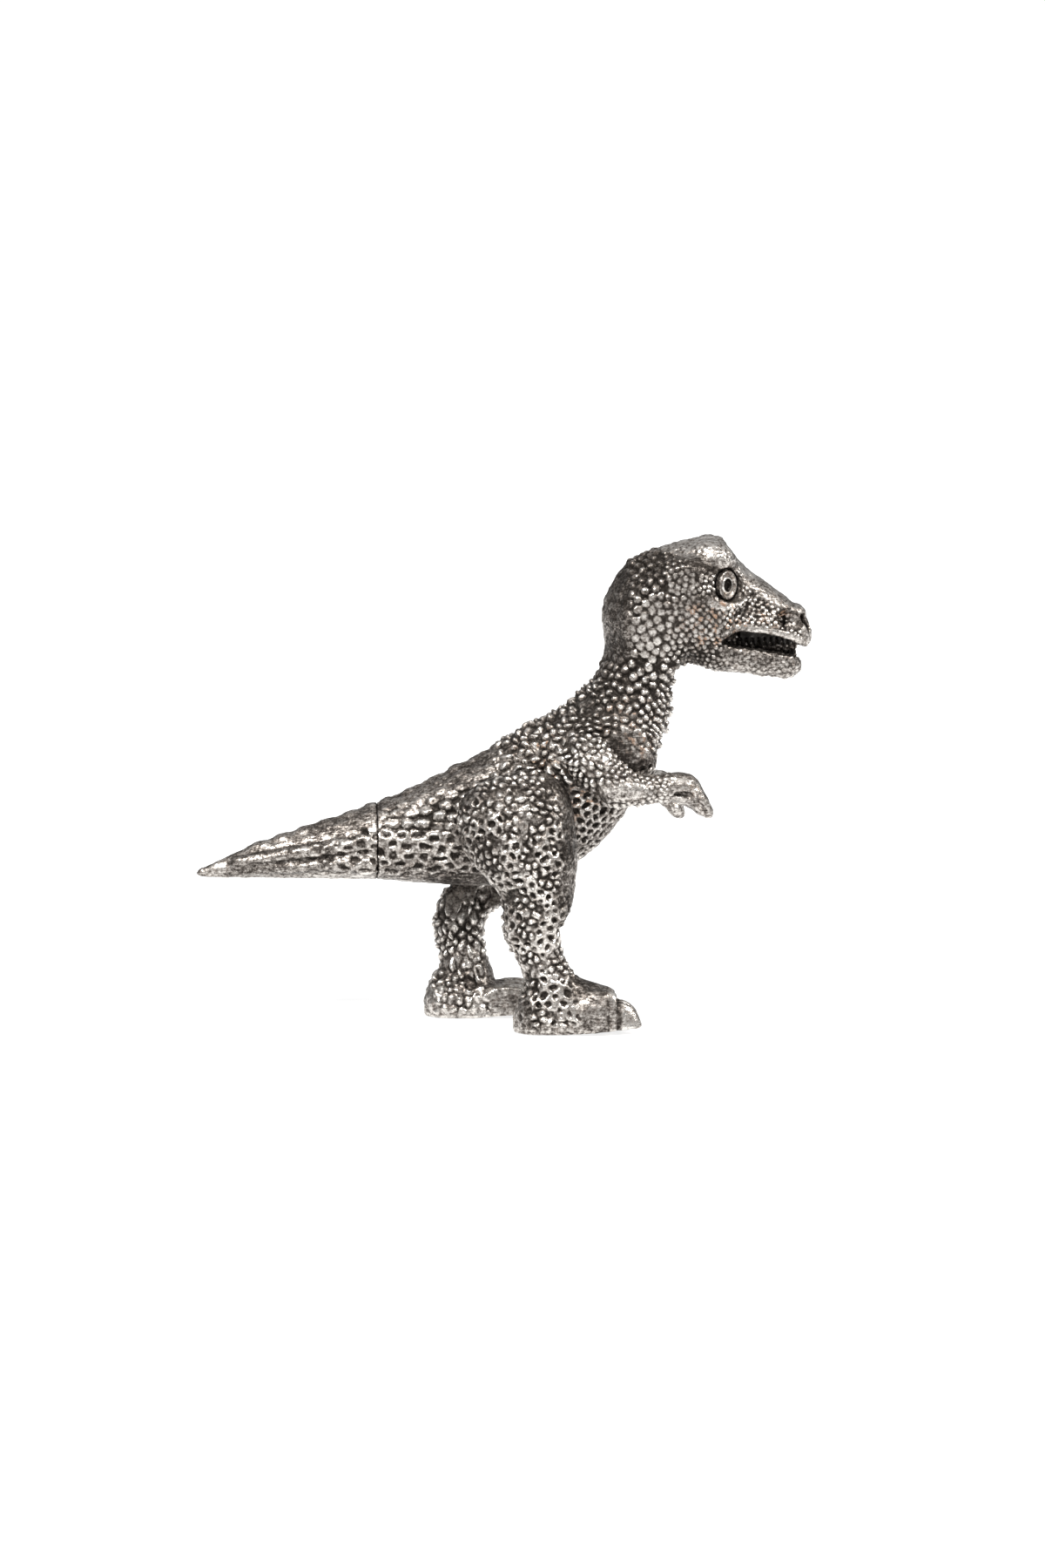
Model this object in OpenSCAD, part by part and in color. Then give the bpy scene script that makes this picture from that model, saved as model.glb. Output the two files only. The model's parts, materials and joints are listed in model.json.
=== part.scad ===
// Posable cast-metal figurine of a large two-legged dinosaur.
// Millimetres. +X is forward (snout), +Y is the animal's left, +Z is up.
// The origin is on the ground, below the middle of the figurine's box.

/* [Casting] */
// Wall thickness of the hollow castings
wall = 2.4; // [2:0.2:2.8]
// Half width of the trunk where the limbs hang
flank_y = 16; // [15.8:0.1:16.4]
// Gap between a flank and the flat inner face of a limb
limb_gap = 0.3; // [0.2:0.05:0.5]

/* [Hips] */
// Forward place of the hip axis
hip_x = 5.5; // [4:0.5:7]
// Height of the hip axis
hip_z = 64.5; // [63:0.5:66]
// Diameter of the hip spindle's journal
hip_pin_d = 6; // [5:0.5:6]

/* [Shoulders] */
// Forward place of the shoulder axis
shoulder_x = 26; // [25:0.5:28]
// Height of the shoulder axis
shoulder_z = 90; // [89:0.5:92]
// Diameter of the shoulder spindle's journal
shoulder_pin_d = 4; // [3.5:0.5:4.5]

/* [Head] */
// Diameter of the dished eye disc
eye_d = 9.4; // [8.5:0.1:10]
// Diameter of the drilled pupil
pupil_d = 2.6; // [1.5:0.1:3.5]
// Number of teeth along each side of a jaw
teeth_per_side = 8; // [5:1:9]

/* [Tail] */
// Length of the spigot that enters the trunk
spigot_l = 9; // [7:0.5:11]
// Diameter of the cross pin through the spigot
tail_pin_d = 3; // [2:0.5:3.5]

/* [Hidden] */

SILVER = "#a9a6a2";
DARK = "#2b2a2b";
STEEL = "#8d9094";
BRONZE = "#a8814f";

RIGHT = -1;
LEFT = 1;
sides = 28;            // sides of the rings that the castings are lofted through
sliver = 0.02;         // thickness of those rings
seat = 0.04;           // radial clearance of a fixed piece in a cast hole
run = 0.05;            // radial clearance of a spindle in its bush
big = 400;

// Sections of the trunk and neck: [back x, back z, belly x, belly z, half width].
// They lean over as the back climbs into the neck.
TAIL_X = -42;
TRUNK = [
    [TAIL_X, 72, TAIL_X, 48.2, 10.6],
    [-34, 75.5, -34, 47.4, 12],
    [-26, 79.5, -25.5, 46.4, 13.2],
    [-17, 83.8, -16, 45.6, 14.4],
    [-8, 88.2, -5, 45.4, 15.2],
    [1, 94, 7, 46.8, 15.6],
    [9, 98.8, 17, 50.2, 15.7],
    [16.5, 102.6, 25.5, 55, 15.7],
    [22, 106.5, 33, 62, 15.7],
    [26.5, 111, 41, 73, 15.6],
    [29.8, 116, 48, 86, 15.2],
    [31.6, 121.5, 51.8, 98, 14.4],
    [32.6, 128, 53, 108, 13.6],
    [33.2, 135, 54, 117, 13.4]
];
// The braincase, from the back of the head to the eyes.
SKULL = [
    [33.4, 142, 34.4, 126, 8.5],
    [36.4, 147.5, 38, 120, 12],
    [42, 153, 44, 117.4, 14.6],
    [50, 156.8, 51, 116.8, 15.8],
    [58, 159, 58, 116.6, 16],
    [65.6, 159.6, 65.5, 116.4, 15.6],
    [70.5, 158.2, 70, 116.2, 14.6]
];
// The snout above the mouth.
SNOUT = [
    [69.5, 158.4, 69.5, 124.4, 14.8],
    [73.5, 155, 73, 126.6, 12.2],
    [77, 150.2, 77, 127.2, 10.8],
    [85, 144.5, 85, 126.4, 10],
    [92, 139, 92, 124.6, 9.4],
    [96.4, 135.6, 95.6, 122.8, 8],
    [100, 131.6, 99, 123.4, 5]
];
// The lower jaw.
JAW = [
    [67, 124, 66.4, 116.2, 13],
    [72.5, 122.8, 72, 115.6, 12],
    [78, 121.9, 78, 114.6, 10.8],
    [85, 121, 85, 113.6, 9.8],
    [91.5, 119.8, 91.5, 113.5, 8.2],
    [95.6, 118.6, 94.8, 114.6, 5.4]
];
// The tail, tapering to a blunt tip. Its face stands just clear of the trunk's.
TAIL_FACE_X = TAIL_X - 2 * sliver;
TAIL = [
    [TAIL_FACE_X, 72, TAIL_FACE_X, 48.2, 10.6],
    [-50, 70, -50, 48.6, 9.4],
    [-58, 68, -58, 49, 8.2],
    [-66, 66, -66, 49.2, 7],
    [-74, 63.8, -74, 49.3, 5.8],
    [-82, 61, -82, 49.3, 4.6],
    [-89, 57.6, -89, 49.2, 3.4],
    [-95, 54.2, -95, 49.1, 2.4],
    [-100, 51, -100, 49.3, 1]
];
SOLID_SNOUT = 3;       // snout sections left solid in front of the cavity
SOLID_TIP = 3;         // tail sections left solid behind the cavity
CREST_END = 9;         // the last trunk section that carries a dorsal plate
CREST_R = 2;           // radius of the plates' upper ends
TAIL_Z = 60.2;

// Level sections of a right leg: [z, rear x, front x, middle y, half width].
// Those of the haunch reach past the flank plane, where the casting is cut flat.
HAUNCH = [
    [83.2, -1, 11, -17, 4],
    [81.2, -8, 16.4, -16.6, 9],
    [77, -14, 19, -16.4, 12.6],
    [71, -16.8, 20.8, -16.4, 14.4],
    [64, -16.2, 21.6, -16.4, 15],
    [57, -13.2, 22, -16.4, 14.6],
    [51, -8, 22, -16.4, 13.6],
    [45, -3, 22, -16.6, 12.4],
    [38, -0.6, 21, -17, 11]
];
SHIN = [
    [38, -0.6, 21, -20, 8],
    [32, -1.2, 17.8, -18.8, 7.6],
    [25, 1, 18.6, -18, 7.4],
    [18, 3.6, 22.6, -17.5, 7.8],
    [12.5, 4.6, 26, -17.2, 8.4]
];
KNEE_Z = 38;           // above this height the inner side is cut flat
// Upright sections of a right foot: [x, top z, sole z, half width].
FOOT = [
    [3.2, 8.6, 2, 4.6],
    [6, 12.6, 0, 7.4],
    [12, 16, 0, 8.8],
    [20, 17.8, 0, 9.2],
    [28, 16, 0, 9.6],
    [34.4, 14.4, 0, 9.8]
];
FOOT_Y = -17;
CLAW = [[34, 6.8, 3.6], [39, 6, 3], [42.8, 3.6, 1.4]];   // [x, z, radius] along a claw
CLAW_SPREAD = [-6, 0, 6];
// How far back the left leg stands at each height.
STRIDE = [[10, -27.5], [26, -23.6], [32, -21], [38, -17], [43, -13.8], [56, -5], [70, 0]];

// Balls that a right arm is lofted through: [x, y, z, radius].
UPPER_ARM = [
    [shoulder_x - 6, -18, shoulder_z + 4, 6],
    [shoulder_x, -18.4, shoulder_z, 8.6],
    [29.8, -20.4, 84, 7.2],
    [34, -22, 79.6, 5.8]
];
FOREARM = [
    [34, -22, 79.6, 5.6],
    [41, -22.6, 79.2, 4.6],
    [47, -22.8, 79.4, 4],
    [52.5, -22.8, 80, 4.4],
    [57, -22.8, 79.2, 4.4]
];
FINGERS = [[63.6, -24.2, 73, 1.6], [64.2, -21.6, 72.2, 1.4], [59.2, -20.6, 72.8, 1.4]];
// The left arm is set this much lower than the right one.
LEFT_ARM_DROP = 10;

EYE_AT = [71.6, 12.2, 144.6];   // middle of the left eye's rim
EYE_TURN = 44;                  // how far each eye looks out from straight ahead
EYE_T = 2.2;
EYE_DISH = 1;                   // how deep the eye's face is dished

// The mouth: [x, half width] along a row of teeth.
GUM = [[75.6, 8], [83, 7.2], [89, 5.8], [93, 3.6]];
GUM_T = 1.8;
UPPER_GUM_Z = 128.4;
LOWER_GUM_Z = 117.6;
TOOTH_L = 3.2;
TOOTH_R = 0.85;

DOWELS = [[-26, 62], [12, 88], [41, 104], [46, 141], [86, 135]];
DOWEL_D = 2.5;
DOWEL_L = 9;

BOSS_Y = flank_y - 6;  // where the pivot bosses end inside the trunk
STEP_Y = BOSS_Y - 1.05; // where a spindle steps down to its thread
WASHER_T = 1.1;
// A pivot: [x, z, journal d, thread d, bush d, washer d, nut across corners, nut height, outer y].
HIP = [hip_x, hip_z, hip_pin_d, 4, hip_pin_d + 3, 11, 8.08, 2.9, 27];
SHOULDER = [shoulder_x, shoulder_z, shoulder_pin_d, 3, shoulder_pin_d + 2.4, 8.4, 6.35, 2.3, 23];

TAIL_PIN_X = TAIL_X + spigot_l / 2;
TAIL_PIN_REACH = 8.6;
PLUG = [-74.6, 56];    // where the core plug closes the tail's right side
PLUG_D = 1.8;

function back_shift(side, z) = side == LEFT ? lookup(z, STRIDE) : 0;

// A thin oval ring between a section's back point and belly point.
module section(s, inset = 0) {
    rise = [s[0] - s[2], s[1] - s[3]];
    translate([(s[0] + s[2]) / 2, 0, (s[1] + s[3]) / 2])
        rotate([0, atan2(rise[0], rise[1]) + 90, 0])
        linear_extrude(sliver, center = true)
        scale([norm(rise) / 2 - inset, s[4] - inset])
        circle(r = 1, $fn = sides);
}

// A solid lofted through some of a list's sections.
module loft(list, inset = 0, first = 0, left_out = 0) {
    for (i = [first:len(list) - 2 - left_out])
        hull() {
            section(list[i], inset);
            section(list[i + 1], inset);
        }
}

// A smooth limb through a list of balls.
module limb(list, side) {
    for (i = [0:len(list) - 2])
        hull() {
            for (b = [list[i], list[i + 1]])
                translate([b[0], -side * b[1], b[2]]) sphere(r = b[3], $fn = 18);
        }
}

module half_space(side) {
    translate([-big / 2, side == LEFT ? 0 : -big, -big / 2]) cube(big);
}

// A cylinder along Y between two distances out from the middle plane.
module across(x, z, side, near, far, d, round = 48) {
    translate([x, side * near, z])
        rotate([-90 * side, 0, 0])
        cylinder(d = d, h = far - near, $fn = round);
}

// Places its children on an eye's axis, which looks forward and out.
module at_eye(side) {
    translate([EYE_AT[0], side * EYE_AT[1], EYE_AT[2]])
        rotate([0, 90, side * EYE_TURN])
        children();
}

module spigot(grow = 0) {
    translate([TAIL_X - 1, 0, TAIL_Z])
        rotate([0, 90, 0])
        linear_extrude(spigot_l + 1 + grow)
        scale([8 + grow, 6 + grow])
        circle(r = 1, $fn = sides);
}

// A plate with the outline of the row of teeth.
module gum(z, thick, grow = 0) {
    translate([0, 0, z])
        linear_extrude(thick)
        polygon([
            [GUM[0][0] - grow, -GUM[0][1] - grow],
            [GUM[0][0] - grow, GUM[0][1] + grow],
            for (p = GUM) [p[0] + grow, p[1] + grow],
            for (i = [len(GUM) - 1:-1:0]) [GUM[i][0] + grow, -GUM[i][1] - grow]
        ]);
}

module body_outside(side) {
    loft(TRUNK);
    loft(SKULL);
    loft(SNOUT);
    loft(JAW);
    // The nape.
    hull() {
        section(TRUNK[len(TRUNK) - 1]);
        section(SKULL[2]);
    }
    // Plates of the dorsal crest.
    for (i = [0:CREST_END])
        hull() {
            translate([max(TRUNK[i][0], TAIL_X + CREST_R), 0, TRUNK[i][1] - 1])
                rotate([90, 0, 0]) cylinder(r = CREST_R, h = 3, center = true, $fn = 14);
            translate([TRUNK[i + 1][0], 0, TRUNK[i + 1][1] - 2])
                rotate([90, 0, 0]) cylinder(r = 1.6, h = 3, center = true, $fn = 14);
        }
    // Eyelid and pads for the pivots.
    at_eye(side) translate([0, 0, -3]) cylinder(d = eye_d + 2, h = 3.2, $fn = 40);
    across(HIP[0], HIP[1], side, BOSS_Y, flank_y, 17);
    across(SHOULDER[0], SHOULDER[1], side, BOSS_Y, flank_y, 12);
}

module body_cavity() {
    loft(TRUNK, wall);
    loft(SKULL, wall, 1);
    loft(SNOUT, wall, 0, SOLID_SNOUT);
}

// What stands in a half's cavity: pivot bosses, dowel bosses and the eye's backing.
module body_bosses(side) {
    across(HIP[0], HIP[1], side, BOSS_Y, flank_y, 17);
    across(SHOULDER[0], SHOULDER[1], side, BOSS_Y, flank_y, 12);
    for (d = DOWELS)
        across(d[0], d[1], side, 0, flank_y, DOWEL_D + 3.4, 24);
    at_eye(side) translate([0, 0, -6]) cylinder(d = eye_d + 3, h = 8, $fn = 28);
    translate([TAIL_X - 1, -big / 2, 0]) cube([spigot_l + 3, big, big]);
}

// One half of the hollow body casting, split on the middle plane.
module body_half(side) {
    color(SILVER) difference() {
        intersection() {
            body_outside(side);
            half_space(side);
        }
        difference() {
            body_cavity();
            body_bosses(side);
        }
        for (p = [HIP, SHOULDER])
            across(p[0], p[1], side, 1, flank_y + 1, p[4] + 2 * seat);
        for (d = DOWELS)
            across(d[0], d[1], side, -1, DOWEL_L / 2 + 0.1, DOWEL_D + 2 * seat, 32);
        spigot(seat);
        across(TAIL_PIN_X, TAIL_Z, side, -1, TAIL_PIN_REACH + 0.1, tail_pin_d + 2 * seat, 32);
        at_eye(side) translate([0, 0, -EYE_T]) cylinder(d = eye_d + 2 * seat, h = 12, $fn = 48);
        gum(UPPER_GUM_Z - 8, 8 + seat, 2 * seat);
        gum(LOWER_GUM_Z - seat, 8, 2 * seat);
    }
}

module body_right() { body_half(RIGHT); }
module body_left() { body_half(LEFT); }

module tail() {
    color(SILVER) difference() {
        union() {
            loft(TAIL);
            spigot();
        }
        loft(TAIL, wall, 1, SOLID_TIP);
        across(TAIL_PIN_X, TAIL_Z, RIGHT, -TAIL_PIN_REACH - 1, TAIL_PIN_REACH + 1, tail_pin_d + 2 * seat, 32);
        across(PLUG[0], PLUG[1], RIGHT, 0, 9, PLUG_D + 2 * seat, 32);
    }
}

module tail_pin() {
    color(STEEL) across(TAIL_PIN_X, TAIL_Z, RIGHT, -TAIL_PIN_REACH, TAIL_PIN_REACH, tail_pin_d);
}

module tail_plug() {
    color(SILVER) across(PLUG[0], PLUG[1], RIGHT, 3.2, 5.9, PLUG_D, 32);
}

// A level ring of a leg.
module leg_ring(s, side) {
    shift = back_shift(side, s[0]);
    translate([(s[1] + s[2]) / 2 + shift, -side * s[3], s[0]])
        linear_extrude(sliver, center = true)
        scale([(s[2] - s[1]) / 2, s[4]])
        circle(r = 1, $fn = sides);
}

// An upright slice of a foot, flat underneath and round on top.
module foot_slice(s, side, shift) {
    translate([s[0] + shift, -side * FOOT_Y, s[2]])
        rotate([90, 0, 90])
        linear_extrude(sliver, center = true)
        intersection() {
            scale([s[3], s[1] - s[2]]) circle(r = 1, $fn = sides);
            translate([-big / 2, 0]) square(big);
        }
}

module foot(side) {
    shift = back_shift(side, 0);
    for (i = [0:len(FOOT) - 2])
        hull() {
            foot_slice(FOOT[i], side, shift);
            foot_slice(FOOT[i + 1], side, shift);
        }
    for (y = CLAW_SPREAD, i = [0:len(CLAW) - 2])
        hull() {
            for (c = [CLAW[i], CLAW[i + 1]])
                translate([c[0] + shift, -side * FOOT_Y + y, c[1]])
                    scale([1, 1, c[1] / c[2]]) sphere(r = c[2], $fn = 16);
        }
}

module leg(side) {
    color(SILVER) difference() {
        union() {
            difference() {
                for (i = [0:len(HAUNCH) - 2])
                    hull() {
                        leg_ring(HAUNCH[i], side);
                        leg_ring(HAUNCH[i + 1], side);
                    }
                translate([-big / 2, -flank_y - limb_gap, KNEE_Z - 1])
                    cube([big, 2 * (flank_y + limb_gap), big]);
            }
            for (i = [0:len(SHIN) - 2])
                hull() {
                    leg_ring(SHIN[i], side);
                    leg_ring(SHIN[i + 1], side);
                }
            foot(side);
        }
        across(HIP[0], HIP[1], side, 0, HIP[8] + 0.2, HIP[2] + 2 * seat);
    }
}

module leg_right() { leg(RIGHT); }
module leg_left() { leg(LEFT); }

module arm(side) {
    color(SILVER) difference() {
        translate([shoulder_x, 0, shoulder_z])
            rotate([0, side == LEFT ? LEFT_ARM_DROP : 0, 0])
            translate([-shoulder_x, 0, -shoulder_z]) {
                limb(UPPER_ARM, side);
                limb(FOREARM, side);
                for (f = FINGERS)
                    limb([FOREARM[len(FOREARM) - 1], f], side);
            }
        translate([-big / 2, -flank_y - limb_gap, -big / 2])
            cube([big, 2 * (flank_y + limb_gap), big]);
        across(SHOULDER[0], SHOULDER[1], side, 0, SHOULDER[8] + 0.2, SHOULDER[2] + 2 * seat);
    }
}

module arm_right() { arm(RIGHT); }
module arm_left() { arm(LEFT); }

// A dished disc with a flat rim and a drilled pupil.
module eye(side) {
    r = eye_d / 2;
    pupil_r = pupil_d / 2;
    color(SILVER) at_eye(side) rotate_extrude($fn = 96)
        polygon([
            [0, -EYE_T], [r, -EYE_T], [r, -0.2], [r - 0.2, 0], [r - 0.6, 0],
            [r * 0.6, -EYE_DISH * 0.7], [pupil_r, -EYE_DISH], [pupil_r, 0.4 - EYE_T], [0, 0.4 - EYE_T]
        ]);
}

module eye_right() { eye(RIGHT); }
module eye_left() { eye(LEFT); }

// A gum plate with a row of pointed teeth down each side.
module teeth(z, up) {
    color(DARK) {
        gum(z, GUM_T);
        for (i = [0:teeth_per_side - 1], side = [RIGHT, LEFT]) {
            x = GUM[0][0] + 1.2 + i * (GUM[3][0] - GUM[0][0] - 2.4) / (teeth_per_side - 1);
            translate([x, side * (lookup(x, GUM) - 1.2), z + GUM_T / 2])
                rotate([up ? 0 : 180, 0, 0])
                cylinder(r1 = TOOTH_R, r2 = 0.35, h = GUM_T / 2 + TOOTH_L, $fn = 24);
        }
    }
}

module teeth_upper() { teeth(UPPER_GUM_Z - GUM_T, false); }
module teeth_lower() { teeth(LOWER_GUM_Z, true); }

module body_dowels() {
    color(STEEL) for (d = DOWELS)
        across(d[0], d[1], LEFT, -DOWEL_L / 2, DOWEL_L / 2, DOWEL_D, 48);
}

// A flanged bush pressed into a body half from inside.
module bush(p, side) {
    color(BRONZE) difference() {
        union() {
            across(p[0], p[1], side, BOSS_Y, flank_y, p[4]);
            across(p[0], p[1], side, BOSS_Y - 1, BOSS_Y, p[4] + 3);
        }
        across(p[0], p[1], side, BOSS_Y - 2, flank_y + 1, p[2] + 2 * run);
    }
}

// A turned spindle: a journal pressed into the limb, stepped down to a threaded end.
module spindle(p, side) {
    color(STEEL) {
        across(p[0], p[1], side, STEP_Y, p[8], p[2]);
        across(p[0], p[1], side, STEP_Y - WASHER_T - p[7] - 0.4, STEP_Y, p[3]);
    }
}

module washer(p, side) {
    color(STEEL) difference() {
        across(p[0], p[1], side, STEP_Y - WASHER_T, STEP_Y, p[5]);
        across(p[0], p[1], side, 0, flank_y, p[3] + 2 * seat);
    }
}

module nut(p, side) {
    color(STEEL) difference() {
        across(p[0], p[1], side, STEP_Y - WASHER_T - p[7], STEP_Y - WASHER_T, p[6], 6);
        across(p[0], p[1], side, 0, flank_y, p[3] + 2 * seat);
    }
}

module hip_bush_right() { bush(HIP, RIGHT); }
module hip_bush_left() { bush(HIP, LEFT); }
module hip_spindle_right() { spindle(HIP, RIGHT); }
module hip_spindle_left() { spindle(HIP, LEFT); }
module hip_washer_right() { washer(HIP, RIGHT); }
module hip_washer_left() { washer(HIP, LEFT); }
module hip_nut_right() { nut(HIP, RIGHT); }
module hip_nut_left() { nut(HIP, LEFT); }
module shoulder_bush_right() { bush(SHOULDER, RIGHT); }
module shoulder_bush_left() { bush(SHOULDER, LEFT); }
module shoulder_spindle_right() { spindle(SHOULDER, RIGHT); }
module shoulder_spindle_left() { spindle(SHOULDER, LEFT); }
module shoulder_washer_right() { washer(SHOULDER, RIGHT); }
module shoulder_washer_left() { washer(SHOULDER, LEFT); }
module shoulder_nut_right() { nut(SHOULDER, RIGHT); }
module shoulder_nut_left() { nut(SHOULDER, LEFT); }

body_right();
body_left();
tail();
tail_pin();
tail_plug();
leg_right();
leg_left();
arm_right();
arm_left();
eye_right();
eye_left();
teeth_upper();
teeth_lower();
body_dowels();
hip_bush_right();
hip_bush_left();
hip_spindle_right();
hip_spindle_left();
hip_washer_right();
hip_washer_left();
hip_nut_right();
hip_nut_left();
shoulder_bush_right();
shoulder_bush_left();
shoulder_spindle_right();
shoulder_spindle_left();
shoulder_washer_right();
shoulder_washer_left();
shoulder_nut_right();
shoulder_nut_left();
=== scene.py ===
import json
import math
from functools import partial

import bmesh
import bpy
import numpy as np
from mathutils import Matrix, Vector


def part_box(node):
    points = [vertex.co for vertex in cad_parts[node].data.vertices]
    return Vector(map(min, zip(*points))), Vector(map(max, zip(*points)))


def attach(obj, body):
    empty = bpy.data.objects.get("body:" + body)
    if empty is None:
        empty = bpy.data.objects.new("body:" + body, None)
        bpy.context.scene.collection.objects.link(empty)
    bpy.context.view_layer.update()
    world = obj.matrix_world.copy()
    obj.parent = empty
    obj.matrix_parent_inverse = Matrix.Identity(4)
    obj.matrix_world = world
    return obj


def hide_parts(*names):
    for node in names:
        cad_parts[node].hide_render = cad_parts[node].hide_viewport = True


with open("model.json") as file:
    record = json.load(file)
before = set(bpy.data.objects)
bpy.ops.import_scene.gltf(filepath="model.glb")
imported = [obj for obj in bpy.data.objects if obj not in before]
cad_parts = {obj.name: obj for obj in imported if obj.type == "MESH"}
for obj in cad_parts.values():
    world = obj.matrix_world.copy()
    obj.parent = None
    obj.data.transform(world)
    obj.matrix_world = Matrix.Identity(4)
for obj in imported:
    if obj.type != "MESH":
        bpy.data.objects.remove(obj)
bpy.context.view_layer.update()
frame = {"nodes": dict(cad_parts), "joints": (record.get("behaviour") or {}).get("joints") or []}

import openvdb
from mathutils import Matrix, Vector, kdtree, noise

MM = 0.001
VOXEL = 0.4      # of the sculpting grid, mm
FAR = 3.0                               # fields are cut off this far from the surface, mm
EMPTY = 50.0                            # a field's value where nothing is, mm
SEED = 7
SIDES = ((-1, "right"), (1, "left"))    # the sign of y on each side


# ---- frame values, in millimetres
def node_box(name):
    """A CAD node's lowest and highest corners, in millimetres."""
    low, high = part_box(name)
    return np.array(low) * 1000.0, np.array(high) * 1000.0


PIVOTS = {joint["name"]: np.array(joint["pos_m"]) * 1000.0 for joint in frame["joints"]}
SHOULDER = PIVOTS["shoulder_right_turn"]
TAIL_JOINT_X = node_box("body_right")[0][0]
LIMB_Y = -node_box("arm_right")[1][1]
TAIL_TIP_X = node_box("tail")[0][0]


# ---- clay: a field that shapes are added to
class Clay:
    """A distance field over a box, negative inside."""

    def __init__(self, low, high):
        self.low = np.floor(np.array(low, float) / VOXEL) * VOXEL
        self.count = np.ceil((np.array(high, float) - self.low) / VOXEL).astype(int) + 1
        self.field = np.full(self.count, EMPTY, np.float32)

    def part(self, low, high):
        """The slices of the grid between two corners, and their coordinates."""
        a = np.clip(np.floor((np.array(low) - self.low) / VOXEL).astype(int), 0, self.count)
        b = np.clip(np.ceil((np.array(high) - self.low) / VOXEL).astype(int) + 1, 0, self.count)
        axes = [self.low[i] + VOXEL * np.arange(a[i], b[i], dtype=np.float32) for i in range(3)]
        grid = np.ix_(*[np.asarray(v, np.float32) for v in axes])
        return tuple(slice(a[i], b[i]) for i in range(3)), grid

    def whole(self):
        """Coordinates of the whole grid."""
        return self.part(self.low, self.low + VOXEL * self.count)[1]

    def blob(self, centre, radii, lean=0.0, turn=0.0, k=1.5, cut=False):
        """Adds or cuts an ellipsoid. lean tips +X up towards +Z, turn swings +X towards +Y, in degrees."""
        r = np.array(radii, float)
        centre = np.array(centre, float)
        a, b = math.radians(turn), math.radians(lean)
        spin = np.array([[math.cos(a), -math.sin(a), 0], [math.sin(a), math.cos(a), 0], [0, 0, 1]])
        tip = np.array([[math.cos(b), 0, -math.sin(b)], [0, 1, 0], [math.sin(b), 0, math.cos(b)]])
        reach = np.abs(spin @ tip) @ r + k + FAR
        where, (x, y, z) = self.part(centre - reach, centre + reach)
        if 0 in self.field[where].shape:
            return
        x, y, z = x - centre[0], y - centre[1], z - centre[2]
        x, y = x * math.cos(a) + y * math.sin(a), -x * math.sin(a) + y * math.cos(a)
        x, z = x * math.cos(b) + z * math.sin(b), -x * math.sin(b) + z * math.cos(b)
        u, v, w = (x / r[0]) ** 2, (y / r[1]) ** 2, (z / r[2]) ** 2
        size = np.sqrt(u + v + w)
        slope = np.sqrt(u / r[0] ** 2 + v / r[1] ** 2 + w / r[2] ** 2)
        self.merge(where, size * (size - 1.0) / np.maximum(slope, 1e-6), k, cut)

    def merge(self, where, d, k, cut=False):
        """A smooth union with a distance, or a smooth cut by it."""
        f = self.field[where]
        if cut:
            h = np.maximum(k - np.abs(f + d), 0.0) / max(k, 1e-6)
            self.field[where] = np.maximum(f, -d) + h * h * k / 4.0
        else:
            h = np.maximum(k - np.abs(f - d), 0.0) / max(k, 1e-6)
            self.field[where] = np.minimum(f, d) - h * h * k / 4.0

    def trim(self, distance):
        """A sharp cut that leaves only where a distance is below zero."""
        self.field = np.maximum(self.field, distance.astype(np.float32))

    def take(self, other, k):
        """A smooth union with another clay over the same box."""
        self.merge(np.s_[:, :, :], other.field, k)

    def like(self):
        """An empty clay over the same box."""
        other = Clay(self.low, self.low)
        other.count = self.count
        other.field = np.full(self.count, EMPTY, np.float32)
        return other

    def soften(self, rounds=1):
        """Averages each voxel with its neighbours."""
        f = self.field
        for _ in range(rounds):
            for axis in range(3):
                g = f.copy()
                mid = [slice(None)] * 3
                low, high = list(mid), list(mid)
                mid[axis], low[axis], high[axis] = slice(1, -1), slice(0, -2), slice(2, None)
                g[tuple(mid)] = 0.5 * f[tuple(mid)] + 0.25 * (f[tuple(low)] + f[tuple(high)])
                f = g
        self.field = f

    def mirror(self):
        """Adds the y < 0 half to a clay that was built from y = 0 up."""
        self.field = np.concatenate([self.field[:, :0:-1, :], self.field], axis=1)
        self.low = self.low - np.array([0, VOXEL * (self.count[1] - 1), 0])
        self.count = np.array(self.field.shape)

    def value(self, points):
        """The field at points, from the nearest voxel. Outside the box it is far away."""
        p = np.rint((points - self.low) / VOXEL).astype(int)
        inside = np.all((p >= 0) & (p < self.count), axis=1)
        q = np.clip(p, 0, self.count - 1)
        return np.where(inside, self.field[q[:, 0], q[:, 1], q[:, 2]], EMPTY)

    def mesh(self):
        """Points in millimetres and quads of the surface, wound outwards."""
        grid = openvdb.FloatGrid(FAR)
        grid.copyFromArray(np.ascontiguousarray(np.clip(self.field, -FAR, FAR)))
        points, quads = grid.convertToQuads(0.0)
        return points.astype(float) * VOXEL + self.low, quads.astype(int)


def spline(rows, step):
    """Rows of numbers run through by a Catmull-Rom curve, in steps of at most this size."""
    rows = np.array(rows, float)
    rows = np.vstack([2 * rows[0] - rows[1], rows, 2 * rows[-1] - rows[-2]])
    out = []
    for i in range(1, len(rows) - 2):
        a, b, c, d = rows[i - 1:i + 3]
        count = max(2, int(math.ceil(np.abs(c - b)[:4].max() / step)))
        for t in np.arange(count) / count:
            out.append(0.5 * (2 * b + (c - a) * t + (2 * a - 5 * b + 4 * c - d) * t * t
                              + (3 * b - a - 3 * c + d) * t ** 3))
    out.append(rows[-2])
    return np.array(out)


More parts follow.
